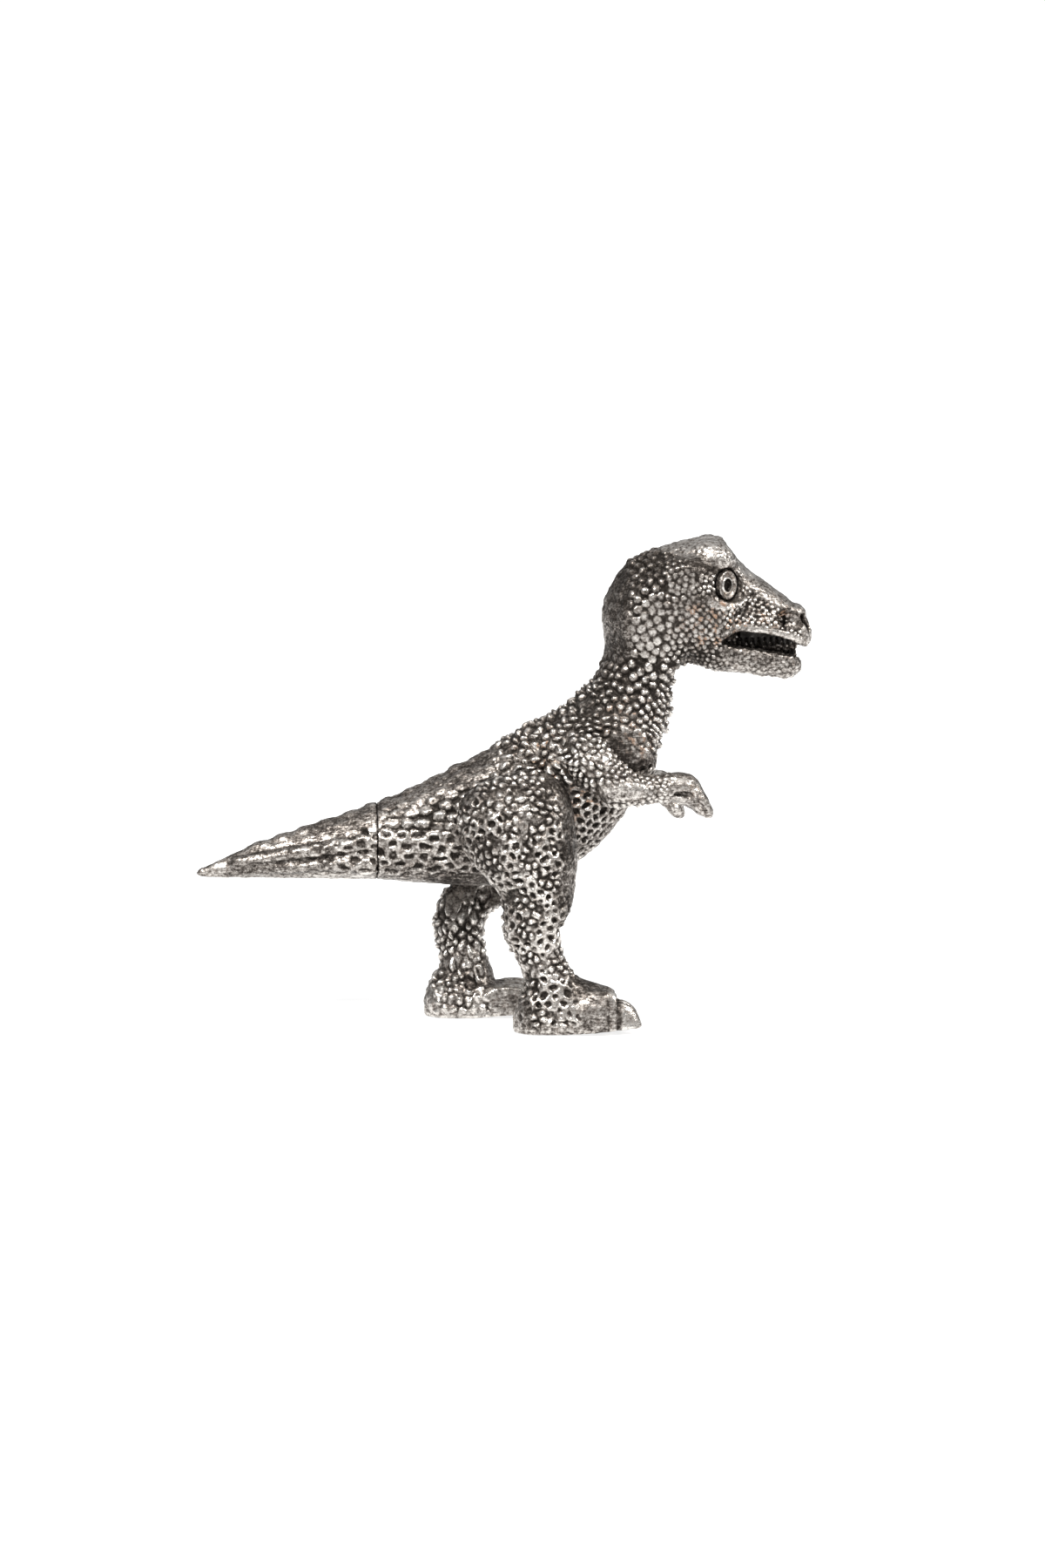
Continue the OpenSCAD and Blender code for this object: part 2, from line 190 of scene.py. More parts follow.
def loft(clay, stations, thick=2.6, step=0.8):
    """A solid through upright sections [back x, back z, belly x, belly z, half width] about y = 0."""
    for back_x, back_z, belly_x, belly_z, width in spline(stations, step):
        half = math.hypot(back_x - belly_x, back_z - belly_z) / 2
        lean = math.degrees(math.atan2(belly_x - back_x, back_z - belly_z))
        centre = ((back_x + belly_x) / 2, 0, (back_z + belly_z) / 2)
        clay.blob(centre, (thick, max(width, 0.3), max(half, 0.3)), lean=lean, k=0.05)


def stack(clay, levels, side, thick=2.4, step=0.8):
    """A solid through level sections [z, rear x, front x, middle y, half width]."""
    for z, rear, front, y, width in spline(levels, step):
        clay.blob(((rear + front) / 2, side * abs(y), z), ((front - rear) / 2, width, thick), k=0.05)


def tube(clay, rows, k=0.6, step=0.7, cut=False):
    """A round limb through rows of [x, y, z, radius]."""
    for x, y, z, r in spline(rows, step):
        clay.blob((x, y, z), (r, r, r), k=k, cut=cut)


# ---- the sculpt's stations, in millimetres
# Upright sections: [back x, back z, belly x, belly z, half width].
TRUNK = [
    [-42, 72.4, -42, 47.8, 10.6], [-34, 75.5, -34, 47, 12], [-26, 79.5, -25.5, 46.4, 13.2],
    [-17, 83.8, -16, 45.6, 14.4], [-8, 88.2, -5, 45.4, 15.2], [1, 94, 7, 46.8, 15.5],
    [9, 98.8, 17, 50.2, 15.5], [16.5, 102.6, 25.5, 55, 15.5], [22, 106.5, 33, 62, 15.5],
    [26.8, 110.6, 41, 73, 15.4], [30.4, 115.6, 48, 86, 15.2], [32.4, 121, 51.6, 98, 14.4],
    [33.6, 128, 52.6, 108, 13.6], [34.4, 135, 54, 117.6, 13.4],
]
SKULL = [
    [34.4, 142, 35.4, 126, 8.6], [37.4, 147.6, 39, 120.6, 12], [42.6, 152.4, 45, 118.6, 14.4],
    [50.2, 155.6, 51, 118, 15.2], [58, 157.8, 58, 118, 15.6], [64.6, 159, 64.5, 118, 15.2],
    [69.6, 158.4, 68.4, 118, 14.2],
]
SNOUT = [
    [66, 158.6, 66, 122.4, 13.2], [71, 156.4, 71, 124, 12.4], [75.4, 151.4, 75, 126.8, 11.2],
    [80, 147.2, 80, 127.2, 10.4], [85, 143.8, 85, 126.4, 9.9], [91, 139.2, 91, 124.4, 9.2],
    [94.6, 136.2, 95.4, 122.4, 7.8], [96.2, 133.6, 97.6, 122.6, 5.8],
]
JAW = [
    [64, 124.6, 63, 117.6, 13], [70, 124.4, 69.4, 117, 12.2], [76, 123.6, 75.8, 115.6, 11],
    [85, 122, 85, 114.2, 9.8], [90.6, 120.7, 90.6, 114, 8.2], [93.4, 119.8, 92.6, 115, 5.6],
]
TAIL = [
    [-42, 72.4, -42, 47.8, 10.6], [-50, 69.8, -50, 48, 9.4], [-58, 67.2, -58, 48.2, 8.2],
    [-66, 64.6, -66, 48.2, 7], [-74, 62, -74, 48.4, 5.8], [-82, 59.2, -82, 48.6, 4.6],
    [-89, 56.2, -89, 48.6, 3.4], [-95, 53.4, -95, 48.7, 2.4], [-98, 51.6, -98, 49, 1.2],
]
# Level sections of a leg: [z, rear x, front x, middle y, half width].
HAUNCH = [
    [82.4, 0, 12, -16.6, 4], [80.8, -8, 16.4, -16.6, 9], [77, -14, 19, -16.4, 12.6],
    [71, -16.8, 20.8, -16.4, 14.4], [64, -16.2, 21.6, -16.4, 15], [57, -13.2, 22, -16.4, 14.6],
    [51, -8, 21.6, -16.4, 13.6], [45, -3, 21, -16.6, 12.4], [38, -0.6, 18.6, -17, 11],
]
SHIN = [
    [42, -1.4, 19.8, -18.8, 8.6], [37, -0.8, 17.8, -19.2, 8], [32, -1.2, 16.2, -18.8, 7.6],
    [25, 1.6, 17.4, -18, 7.2], [18, 4.8, 20.8, -17.5, 7.4], [12.5, 5, 24, -17.2, 8],
    [8, 4, 24, -17, 8],
]
# The near foot as upright sections: [x, top z, half width].
FOOT = [[3.6, 9, 4.6], [6, 12.6, 7.4], [12, 16.4, 8.8], [20, 17.4, 9.2], [27, 15.4, 9.4], [31.5, 13.6, 9.2]]
FOOT_Y = 17
TOE_SPREAD = 6
# Toes: [sideways from the foot's middle, x of the end].
TOES = [[-TOE_SPREAD, 32.4], [0, 34.6], [TOE_SPREAD, 34.6]]
LEFT_TOES_LONGER = 2.4
# Upright folds cut into the left shin as balls [x, y, z, radius], each with how far its edges are rounded.
LEFT_SHIN_FOLDS = (
    ([[-11.2, 12.8, 42, 1.5], [-13.8, 10.2, 27.4, 1.8], [-12.8, 9.8, 16, 1.7], [-11.2, 9, 11, 1.0]], 1.5),
    ([[-5.6, 13.5, 43, 2.2], [-8.8, 10.6, 32, 1.9], [-9.4, 10.2, 22, 1.2]], 2),
)
KNEE_Z = 37
# How far the left leg is set back from the right one: [z, shift in x].
STRIDE = [[10, -27.5], [26, -23.6], [32, -21], [38, -17], [43, -13.8], [56, -5], [70, 0]]
# A right arm as balls: [x, y, z, radius].
UPPER_ARM = [[25.8, -17.6, 89.4, 6.6], [28, -18, 86.8, 6.4], [30.6, -19.6, 83.6, 6.4], [34.4, -21.4, 80, 5.8]]
FOREARM = [
    [34.4, -21.6, 79.8, 5.8], [41, -22.4, 79, 4.7], [47, -22.8, 79.2, 4.0], [52.5, -22.8, 79.9, 4.4],
    [56, -22.8, 79.6, 4.4],
]
# A crease across the facet of the hand, as balls too.
HAND_CREASE = [
    [52.6, 26.6, 78.2, 0.6], [56.6, 26.8, 77.8, 0.8], [59.6, 26.4, 75.2, 0.8], [62.6, 25.6, 72.4, 0.5],
]
LEFT_ARM_DROP = 10                         # how much lower the left arm is set, degrees
UPPER_LIP = [
    [68.8, 125.6], [70.4, 127.2], [74, 128.8], [84.6, 127.7], [90.6, 126.1], [95.7, 123.6], [104, 120.6],
]
LOWER_LIP = [[68.8, 125.2], [70.8, 124.4], [84.6, 122.1], [93.7, 120.4], [96, 119], [104, 116]]
GUM = [[75.6, 8], [83, 7.2], [89, 5.8], [93, 3.6]]
GUM_T = 1.8
UPPER_GUM_Z = 128.4
LOWER_GUM_Z = 117.6
EYE = np.array([71.3, 12.3, 143.8])
EYE_TURN = 44
EYE_R = 4.7


def curve(rows, x):
    """A line through [x, value] rows, read at x."""
    rows = np.array(rows, float)
    return np.interp(x, rows[:, 0], rows[:, 1])


def stride(side, z):
    """How far a leg's level is shifted in x: nothing on the right, backwards on the left."""
    return 0.0 if side < 0 else curve(STRIDE, z)


def inner_face(z):
    """How far out a leg's inner face lies: on the flank's plane above the knee, and further in below it."""
    return np.interp(z, [KNEE_Z - 14, KNEE_Z - 12, KNEE_Z, KNEE_Z + 8], [-50, LIMB_Y - 8, LIMB_Y - 3, LIMB_Y])


# ---- sculpting the castings
def crest(clay, x_from, x_to, back, pitch=7.4):
    """A row of overlapping plates along the back, each tipped up at its rear end."""
    back = np.array(back)
    order = np.argsort(back[:, 0])
    xs, zs = back[order, 0], back[order, 1]
    for x in np.arange(x_from, x_to, pitch):
        slope = math.degrees(math.atan2(np.interp(x + 3, xs, zs) - np.interp(x - 3, xs, zs), 6))
        z = np.interp(x, xs, zs)
        clay.blob((x, 0, z - 1.3), (pitch * 0.6, 3.4, 2.0), lean=slope - 6, k=0.8)
        clay.blob((x - pitch * 0.5, 0, z + 0.5), (0.8, 3.0, 1.3), lean=slope - 6, k=0.6, cut=True)


def body_clay():
    """Trunk, neck and head: built for y >= 0, then mirrored."""
    clay = Clay((TAIL_JOINT_X - 1, 0, 43), (103, 18.6, 163))
    loft(clay, TRUNK)
    for stations, k in ((SKULL, 5.0), (SNOUT, 2.5), (JAW, 2.0)):
        part = clay.like()
        loft(part, stations)
        clay.take(part, k)

    # Brow, temple, cheek and the muscle behind the jaw.
    clay.blob((66.5, 8.4, 152.8), (6.8, 4.6, 4.2), lean=-14, turn=12, k=3)
    clay.blob((57, 12.4, 147), (7, 3.4, 5), k=4)
    clay.blob((62, 12.6, 131), (10, 3.8, 8), lean=-10, k=5)
    clay.blob((47, 11.6, 130), (8, 3.2, 14), lean=8, k=6)
    # Shoulder and chest.
    clay.blob((24, 11.2, 91), (11, 4.3, 11), lean=30, k=5)
    clay.blob((40.5, 11.5, 89), (7, 4, 10), lean=10, k=4)

    head_details(clay)
    clay.soften(2)
    crest(clay, TAIL_JOINT_X + 4.4, 9, [(row[0], row[1]) for row in TRUNK])
    # The throat carries a column of knobs.
    for x, z in ((54, 112), (53.8, 107), (53.4, 102), (52.4, 97), (50, 92), (47, 87.4), (44.6, 83)):
        clay.blob((x - 1.4, 0.8, z), (2.2, 3.2, 2.3), k=1)
        clay.blob((x - 3.0, 5.4, z + 2.4), (2.2, 2.4, 2.1), k=1)
    # The flat face that the tail butts against.
    x, _, _ = clay.whole()
    clay.trim(TAIL_JOINT_X - x)
    clay.mirror()
    return clay


def head_details(clay):
    """Mouth, lips, nostril and eye socket on the y >= 0 half."""
    # Full sides above and below the mouth, with rolled lips.
    tube(clay, [[66, 9.4, 132, 4.4], [74, 7.2, 131.8, 4.0], [84.6, 6.2, 131.2, 3.5], [92, 5.2, 129.4, 3.2],
                [95.4, 3.6, 127.6, 2.9]], k=2.5)
    tube(clay, [[66, 9, 121.6, 4.0], [74, 7.6, 120.2, 3.4], [84.6, 6.2, 118.6, 3.2], [91, 5.1, 117.4, 2.8],
                [93, 2.4, 117, 2.2]], k=2.5)
    # The knob at the front of the snout.
    clay.blob((95.4, 2.2, 134.6), (2.4, 3.4, 2.0), lean=-30, k=1.2)
    tube(clay, [[68.4, 11.8, 125.4, 1.1], [71, 11.2, 127.6, 1.1], [75.2, 10.2, 129.4, 1.1],
                [84.6, 8.9, 128.5, 1.1], [90.6, 7.9, 126.9, 1.1], [95.2, 5.8, 124.7, 1.1],
                [97.4, 3.1, 123.8, 1.1], [98.2, 0, 123.5, 1.1]], k=2.5)
    tube(clay, [[68.4, 11.6, 124.2, 1.1], [72.1, 10.5, 123, 1.1], [84.6, 8.7, 120.9, 1.1],
                [90.4, 7.2, 119.8, 1.1], [92.8, 4.8, 119, 1.1], [93.6, 0, 118.7, 1.1]], k=2.5)
    # The mouth is cut from the side and leaves a core between the tooth rows.
    x, y, z = clay.whole()
    core = np.where(x < 95, curve(GUM, x) - 2.2, -5.0)
    middle_wall = np.maximum(np.maximum(y - core, np.abs(z - 123.5) - 5), np.maximum(x - 95, 66 - x))
    clay.field = np.minimum(clay.field, middle_wall.astype(np.float32))
    top, bottom = curve(UPPER_LIP, x[:, 0, 0]), curve(LOWER_LIP, x[:, 0, 0])
    middle, half = ((top + bottom) / 2)[:, None, None], ((top - bottom) / 2)[:, None, None]
    slot = np.maximum(np.maximum(np.abs(z - middle) - half, UPPER_LIP[0][0] - 0.2 - x), core - y)
    clay.merge(np.s_[:, :, :], slot.astype(np.float32), 0.3, cut=True)
    # The upper lip is rounded off at its front corner.
    clay.trim(np.where(z < 121, -EMPTY, 0.7 * (x - z + 26)))
    # Pockets for the two tooth rows.
    for low in (UPPER_GUM_Z - GUM_T, LOWER_GUM_Z):
        inside = y - curve(GUM, np.minimum(x, GUM[-1][0])) - 0.1
        tray = np.maximum(np.maximum(np.abs(z - low - GUM_T / 2) - GUM_T / 2 - 0.1, inside),
                          np.maximum(GUM[0][0] - 0.2 - x, x - 95))
        clay.merge(np.s_[:, :, :], tray.astype(np.float32), 0.1, cut=True)
    # Nostril hollow, its deeper rear part, and the slit at the front of the snout.
    clay.blob((91.8, 8.4, 132.4), (4.4, 2.4, 3.2), lean=-30, turn=-14, k=0.6, cut=True)
    clay.blob((89.6, 8.2, 131.6), (2.2, 3.2, 3.2), lean=-20, k=0.5, cut=True)
    clay.blob((96.6, 5.2, 131), (1.1, 3.2, 3.2), lean=12, turn=-40, k=0.3, cut=True)
    # Hollows in front of and behind the eye, and the lower lid.
    clay.blob((78.8, 11.6, 141), (3.4, 1.8, 5.4), lean=35, turn=-12, k=1.5, cut=True)
    tube(clay, [[63.6, 15.2, 139.6, 1.1], [67, 15, 137.6, 1.5], [71.4, 13.6, 137, 1.6],
                [75.4, 11.8, 137.8, 1.2], [77.6, 10.6, 140, 0.8]], k=0.7)
    # Eye: a raised lid and a round socket.
    turn = math.radians(EYE_TURN)
    axis = np.array([math.cos(turn), math.sin(turn), 0])
    clay.blob(EYE - 1.9 * axis, (2.7, 6.1, 6.1), turn=EYE_TURN, k=1.2)
    where, (x, y, z) = clay.part(EYE - 9, EYE + 9)
    x, y, z = x - EYE[0], y - EYE[1], z - EYE[2]
    along = x * axis[0] + y * axis[1]
    across = np.sqrt((y * axis[0] - x * axis[1]) ** 2 + z ** 2)
    clay.merge(where, np.maximum(across - EYE_R - 0.8, -2.4 - along), 0.3, cut=True)


def tail_clay():
    """Tail casting."""
    clay = Clay((TAIL_TIP_X - 1.5, 0, 46), (TAIL_JOINT_X + 1, 13, 76))
    loft(clay, TAIL)
    clay.blob((-98.6, 0, 50.8), (1.4, 1.2, 1.3), k=0.5)
    clay.soften(1)
    crest(clay, TAIL_JOINT_X - 37.8, TAIL_JOINT_X - 0.5, [(row[0], row[1]) for row in TAIL])
    # Ledges that run lengthwise, and the solder-like pad under the joint.
    for z0, z1, y0, y1 in ((54.6, 51.6, 8.9, 3.1), (61.4, 54.2, 9.6, 3.9)):
        ledge = [[2, y0, z0, 1.2], [24, (y0 + y1) / 2 - 0.1, (z0 + z1) / 2, 1], [46, y1, z1, 0.6]]
        tube(clay, [[TAIL_JOINT_X - back, y, z, r] for back, y, z, r in ledge], k=2.0)
    clay.blob((TAIL_JOINT_X - 4.5, 7.6, 52.6), (4.4, 2.6, 2.8), lean=-10, k=1.5)
    x, _, _ = clay.whole()
    clay.trim(x - TAIL_JOINT_X + 0.05)
    clay.mirror()
    return clay


def leg_clay(side):
    """Leg casting, flat where it turns against the flank and flat under the sole. side is -1 on the right."""
    low, high = ((-29, -33.5, -1), (46, -6, 85)) if side < 0 else ((-31, 6, -1), (26, 33.5, 85))
    clay = Clay(low, high)

    def place(x, y, z):
        return x + stride(side, z), side * y, z

    for rows in (HAUNCH, SHIN):
        moved = [[z, a + stride(side, z), b + stride(side, z), y, w] for z, a, b, y, w in rows]
        part = clay.like()
        stack(part, moved, side)
        clay.take(part, 2.5)
    # Knee, calf and heel.
    clay.blob(place(12.8, 20, 43), (4.4, 5.6, 7), k=3)
    clay.blob(place(3, 18.6, 35), (4.6, 5.6, 7), lean=12, k=3)
    clay.blob(place(8.4, 17.4, 7), (5.0, 6.8, 7.4), k=2.5)
    foot = clay.like()
    flat, middle = (1.0, FOOT_Y) if side < 0 else (0.66, FOOT_Y - 2.5)
    for x, top, width in spline(FOOT, 0.8):
        half = top / 1.4 * np.interp(x, [8, 20], [1, flat])
        foot.blob(place(x, middle, 0.4 * half), (2.4, width, half), k=0.05)
    # Three blunt toes that end in a flat face. The left ones are a little longer.
    longer = LEFT_TOES_LONGER if side > 0 else 0.0
    toes = [(spread, end + longer) for spread, end in TOES]
    for spread, end in toes:
        foot.blob(place(end - 6, middle + spread, 4.4), (11, 4.3, 9.6 * flat), k=1.0)
    x, y, z = clay.whole()
    foot_shift = stride(side, 8)
    ends = np.zeros_like(y)
    for spread, end in toes:
        ends = np.where(np.abs(side * y - middle - spread) <= TOE_SPREAD / 2, end, ends)
    ends = np.where(ends == 0, toes[0][1] - 1, ends)
    foot.trim(x - foot_shift - ends)
    clay.take(foot, 2.0)
    # Claws like quarters of a dome, each set in a fine groove.
    for spread, end in toes:
        ring = place(end + 0.1, middle + spread, 4.4)
        clay.blob(ring, (0.8, 4.6, 9.8), k=0.2, cut=True)
        clay.blob(place(end - 0.4, middle + spread, 1.5), (8.4, 3.0, 8.9 * flat), k=0.2)
    clay.soften(1)
    if side > 0:
        # Upright folds on the inner side of the shin.
        for fold, k in LEFT_SHIN_FOLDS:
            tube(clay, fold, k=k, cut=True)
    # The sole is flat under the foot and lifts a little under the claws.
    clay.trim(0.085 * np.maximum(x - foot_shift - 18, 0) - z)
    clay.trim(inner_face(z) - side * y)
    return clay


def arm_clay(side):
    """Arm casting, flat where it turns against the flank."""
    low, high = ((10, -30, 60), (74, -15.5, 106)) if side < 0 else ((10, 15.5, 60), (74, 30, 106))
    clay = Clay(low, high)
    drop = LEFT_ARM_DROP if side > 0 else 0.0

    def place(x, y, z):
        turned = Matrix.Rotation(math.radians(drop), 3, "Y") @ Vector((x - SHOULDER[0], 0, z - SHOULDER[2]))
        return turned.x + SHOULDER[0], side * abs(y), turned.z + SHOULDER[2]

    def rows(balls):
        return [[*place(x, y, z), r] for x, y, z, r in balls]

    tube(clay, rows(UPPER_ARM), k=0.8)
    fore = clay.like()
    tube(fore, rows(FOREARM), k=0.8)
    clay.take(fore, 3.0)
    # The shoulder spreads out thin over the chest.
    clay.blob(place(26.4, 16.4, 87), (11, 3.4, 6.6), lean=-48 - drop, k=4)
    # The back of the hand is one smooth facet over two blunt fingers.
    clay.blob(place(56.6, 23, 78.9), (6.2, 3.6, 4.6), lean=-38 - drop, k=1.6)
    clay.blob(place(60.4, 23.4, 75.4), (5.4, 3.0, 3.2), lean=-58 - drop, k=1.0)
    clay.blob(place(62.8, 23.4, 72.6), (3.2, 2.2, 2.1), lean=-56 - drop, k=0.4)
    clay.blob(place(56.4, 21.6, 76.6), (6.2, 2.4, 2.6), lean=-36 - drop, k=0.7)
    clay.blob(place(61, 21.4, 73), (3.6, 2.0, 2.2), lean=-44 - drop, k=0.5)
    clay.soften(1)
    tube(clay, rows(HAND_CREASE), k=0.6, cut=True)
    _, y, _ = clay.whole()
    clay.trim(LIMB_Y - side * y)
    return clay


# ---- scales
def normals_of(points, quads):
    """Unit normals at the points of a quad mesh."""
    a, b, c, d = (points[quads[:, i]] for i in range(4))
    face = np.cross(c - a, d - b)
    sums = [np.bincount(quads.ravel(), np.repeat(face[:, i], 4), len(points)) for i in range(3)]
    out = np.stack(sums, axis=1)
    return out / np.maximum(np.linalg.norm(out, axis=1, keepdims=True), 1e-9)


def ease(low, high, x):
    """From 0 at low to 1 at high, smoothly."""
    t = np.clip((x - low) / (high - low), 0, 1)
    return t * t * (3 - 2 * t)


def around(points, centre, radii):
    """1 at a centre, falling to 0 at the surface of an ellipsoid about it. y is taken on both sides."""
    p = np.column_stack([points[:, 0], np.abs(points[:, 1]), points[:, 2]])
    size = np.linalg.norm((p - np.array(centre)) / np.array(radii), axis=1)
    return ease(1.0, 0.55, size)


def wander(points, size, seed):
    """Smooth noise from -1 to 1 with features of about this size in millimetres."""
    offset = Vector((seed * 17.3, seed * 5.1, -seed * 9.7))
    size = np.broadcast_to(np.array(size, float), (3,))
    return np.array([noise.noise(Vector(p) + offset) for p in points / size])


def tree_of(points):
    tree = kdtree.KDTree(len(points))
    for i, p in enumerate(points):
        tree.insert(p, i)
    tree.balance()
    return tree


def scale_pattern(space, pitch, key, seed):
    """Packs scales about a pitch apart. Returns how far each point is inside its own scale, from 0 on the
    border to 1 in the middle, its offset from that scale's middle, and two random numbers for the scale."""
    rng = np.random.default_rng(seed)
    tree = tree_of(space)
    covered = np.zeros(len(space), bool)
    middles = []
    for i in np.argsort(key + rng.normal(0, 0.15, len(space))):
        if covered[i]:
            continue
        middles.append(i)
        for _, j, _ in tree.find_range(space[i], 0.86 * pitch[i]):
            covered[j] = True
    middles = np.array(middles)
    tree = tree_of(space[middles])
    inside = np.zeros(len(space))
    owner = np.zeros(len(space), int)
    for i, p in enumerate(space):
        (_, own, near), (_, _, far) = tree.find_n(p, 2)
        inside[i] = (far - near) / (far + near)
        owner[i] = own
    luck = rng.random((len(middles), 2))
    return inside, space - space[middles[owner]], luck[owner]


def blurred(values, quads, rounds):
    """Values averaged over each point's neighbours, several times."""
    start, end = quads.ravel(), np.roll(quads, -1, axis=1).ravel()
    count = np.bincount(start, minlength=len(values)) + np.bincount(end, minlength=len(values))
    for _ in range(rounds):
        total = np.bincount(start, values[end], len(values)) + np.bincount(end, values[start], len(values))
        values = total / count
    return values


def add_scales(points, quads, normals, skin, seed):
    """Moves points along their normals by the skin's scales. Returns the points, how deep in a hollow
    each one lies, from about -0.5 on a high place to 1 in a groove, and a random number for its scale."""
    # Uneven scales: the pitch and the place are warped, less so on round beads.
    warp = np.column_stack([wander(points, 4.5, seed + n) for n in (4, 5, 6)])
    skin.pitch = skin.pitch * (1 + 0.3 * (1 - skin.round) * wander(points, 9, seed + 8))
    warp = warp * (skin.pitch * (0.35 - 0.25 * skin.round))[:, None]
    inside, offset, luck = scale_pattern(skin.space + warp, skin.pitch, skin.key, seed)
    # Raised scales: round beads or flat tiles, some tipped up along the flow, a few nearly missing.
    missing = luck[:, 1] < skin.gaps
    size = np.where(missing, 0.2, 0.6 + 0.55 * luck[:, 0])
    ball = np.linalg.norm(offset, axis=1) / (0.49 * skin.pitch)
    round_bead = np.sqrt(np.clip(1 - ball ** 2, 0, 1))
    bead = blend(ease(0.0, 0.8, inside), skin.round, round_bead) * size
    tip = skin.tilt * np.clip((offset @ skin.flow) / skin.pitch, -0.6, 0.6) * ease(0.05, 0.3, inside)
    # Pits are holes in a net of metal.
    hole = ease(0.2, 0.6, inside) * (0.5 + 0.7 * luck[:, 0])
    height = blend(bead + tip - 0.45, skin.pits, 0.35 - hole)
    gap = blend(1 - ease(0.06, 0.42, inside), skin.round, ease(0.78, 1.15, ball))
    gap = np.maximum(gap, 0.7 * missing)
    groove = blend(gap, skin.pits, 0.95 * ease(0.28, 0.62, inside))
    # Hammered lumps and dents, and brushed streaks on the calm stretches.
    lumps = wander(points, 3.4, seed + 1) * 0.34
    dents = wander(points, 1.8, seed + 2) * 0.3 + wander(points, 1.0, seed + 7) * 0.16
    rough = lumps * (1 - 0.4 * skin.calm) + dents * (1 - 0.75 * skin.calm)
    streak = wander(points, skin.grain, seed + 3) * 0.16
    raised = skin.height * height * (1 - skin.calm) + rough + streak * skin.calm
    raised = raised * skin.free
    depth = blend(groove, skin.calm, 0.3 * ease(0.2, -0.8, streak * 2.2 + rough))
    hollow = np.clip((blurred(raised, quads, 14) - raised) / 0.45, -1, 1)
    return points + normals * raised[:, None], 0.26 * depth + 0.36 * hollow, luck[:, 0]


# ---- skins: what the scales are like, and where
def blend(values, amount, target):
    """Values moved towards a target by an amount from 0 to 1 at each point."""
    return values * (1 - amount) + target * amount


class Skin:
    """What the surface is like at each point, starting with one kind of scale all over.

    pitch and height are the scales' in millimetres. From 0 to 1: round for beads, pits for holes, tilt for
    scales tipped up along the flow, calm for smoothed over, free for able to stand out, and warm for browned.
    shade darkens. space is where the pattern is laid out, key the order of packing, grain the streaks' size,
    and gaps the share of scales that are nearly missing."""

    def __init__(self, points, pitch, height, grain):
        n = len(points)
        self.space, self.key = points.copy(), points[:, 2].copy()
        self.grain, self.gaps, self.flow = grain, 0.05, np.array([0.8, 0, 0.6])
        self.pitch, self.height = np.full(n, float(pitch)), np.full(n, float(height))
        self.round, self.pits, self.tilt, self.calm, self.shade, self.warm = np.zeros((6, n))
        self.free = np.ones(n)

    def paint(self, amount, **targets):
        """Moves some of the values towards targets."""
        for name, target in targets.items():
            setattr(self, name, blend(getattr(self, name), amount, target))

    def lift(self, name, *values):
        """Raises one of the values to at least each of these."""
        setattr(self, name, np.maximum.reduce([getattr(self, name), *values]))


def body_skin(points):
    """Round beads on the neck, fine ones on the face, flakes on the back, pits on the belly, and brushed
    metal on the snout and jaw."""
    x, y, z = points.T
    skin = Skin(points, 3.2, 1.5, (5, 1, 1))
    # Back, hips and the root of the tail: flakes that get longer towards the rear.
    reach = np.interp(x, [TAIL_JOINT_X, 0, 24, 110], [-30, 0, 20, 106])
    skin.space = np.column_stack([reach, y, z])
    skin.tilt = 0.9 * ease(30, 16, x) * ease(66, 74, z - 0.4 * x)
    skin.paint(skin.tilt, pitch=3.3)
    rear = ease(-2, -12, x)
    band = ease(66, 62, z)
    skin.pits = 0.85 * rear * band
    skin.paint(rear, pitch=4.0, tilt=0)
    skin.round = rear * (1 - band)
    below_back = z - curve([(row[0], row[1]) for row in TRUNK[:7]], x)
    skin.calm = 0.72 * ease(4, -6, x) * ease(-8.5, -6, below_back)
    skin.lift("calm", 0.85 * rear * ease(51.5, 49.5, z))
    skin.shade += 0.1 * rear * band - 0.12 * ease(24, 16, x) * (1 - band)
    skin.shade -= 0.2 * around(points, (15, 14, 87), (18, 14, 12))
    # Neck and the back of the head.
    neck = ease(104, 112, z + 0.5 * (x - 40)) * ease(54, 48, x - 0.2 * np.minimum(z - 120, 0))
    skin.paint(neck, pitch=3.4, height=1.6)
    skin.lift("round", neck)
    nape = ease(41, 38, x) * ease(116, 124, z)
    face_skin(skin, points)
    skin.lift("calm", 0.85 * nape)
    # Belly and chest.
    belly = ease(82, 74, z - 0.35 * (x - 20)) * ease(2, 10, x)
    skin.lift("pits", 0.9 * belly)
    skin.paint(belly, pitch=3.7, height=1.5, tilt=0)
    chest = around(points, (39, 14, 92), (10, 9, 9))
    skin.lift("calm", 0.8 * chest)
    skin.shade += 0.1 * chest + 0.05 * neck
    skin.warm = np.maximum.reduce([around(points, middle, radii) for middle, radii in (
        ((66, 14, 132), (15, 9, 10)), ((22, 14, 80), (12, 9, 14)), ((86, 9, 134), (7, 9, 5)),
        ((8, 13, 92), (12, 10, 9)))])
    skin.lift("warm", 0.6 * around(points, (40, 13, 98), (14, 10, 12)))
    # Rows run level on the face and rear, and upright on the neck.
    skin.key = np.where(neck > 0.5, 300 + x, np.where(x > 40, 100 + z, 200 + z - 0.45 * x))
    off_eye = np.linalg.norm(np.column_stack([x, np.abs(y), z]) - EYE, axis=1)
    skin.free = ease(-0.6, 0.8, x - TAIL_JOINT_X) * ease(5.2, 6.2, off_eye)
    return skin


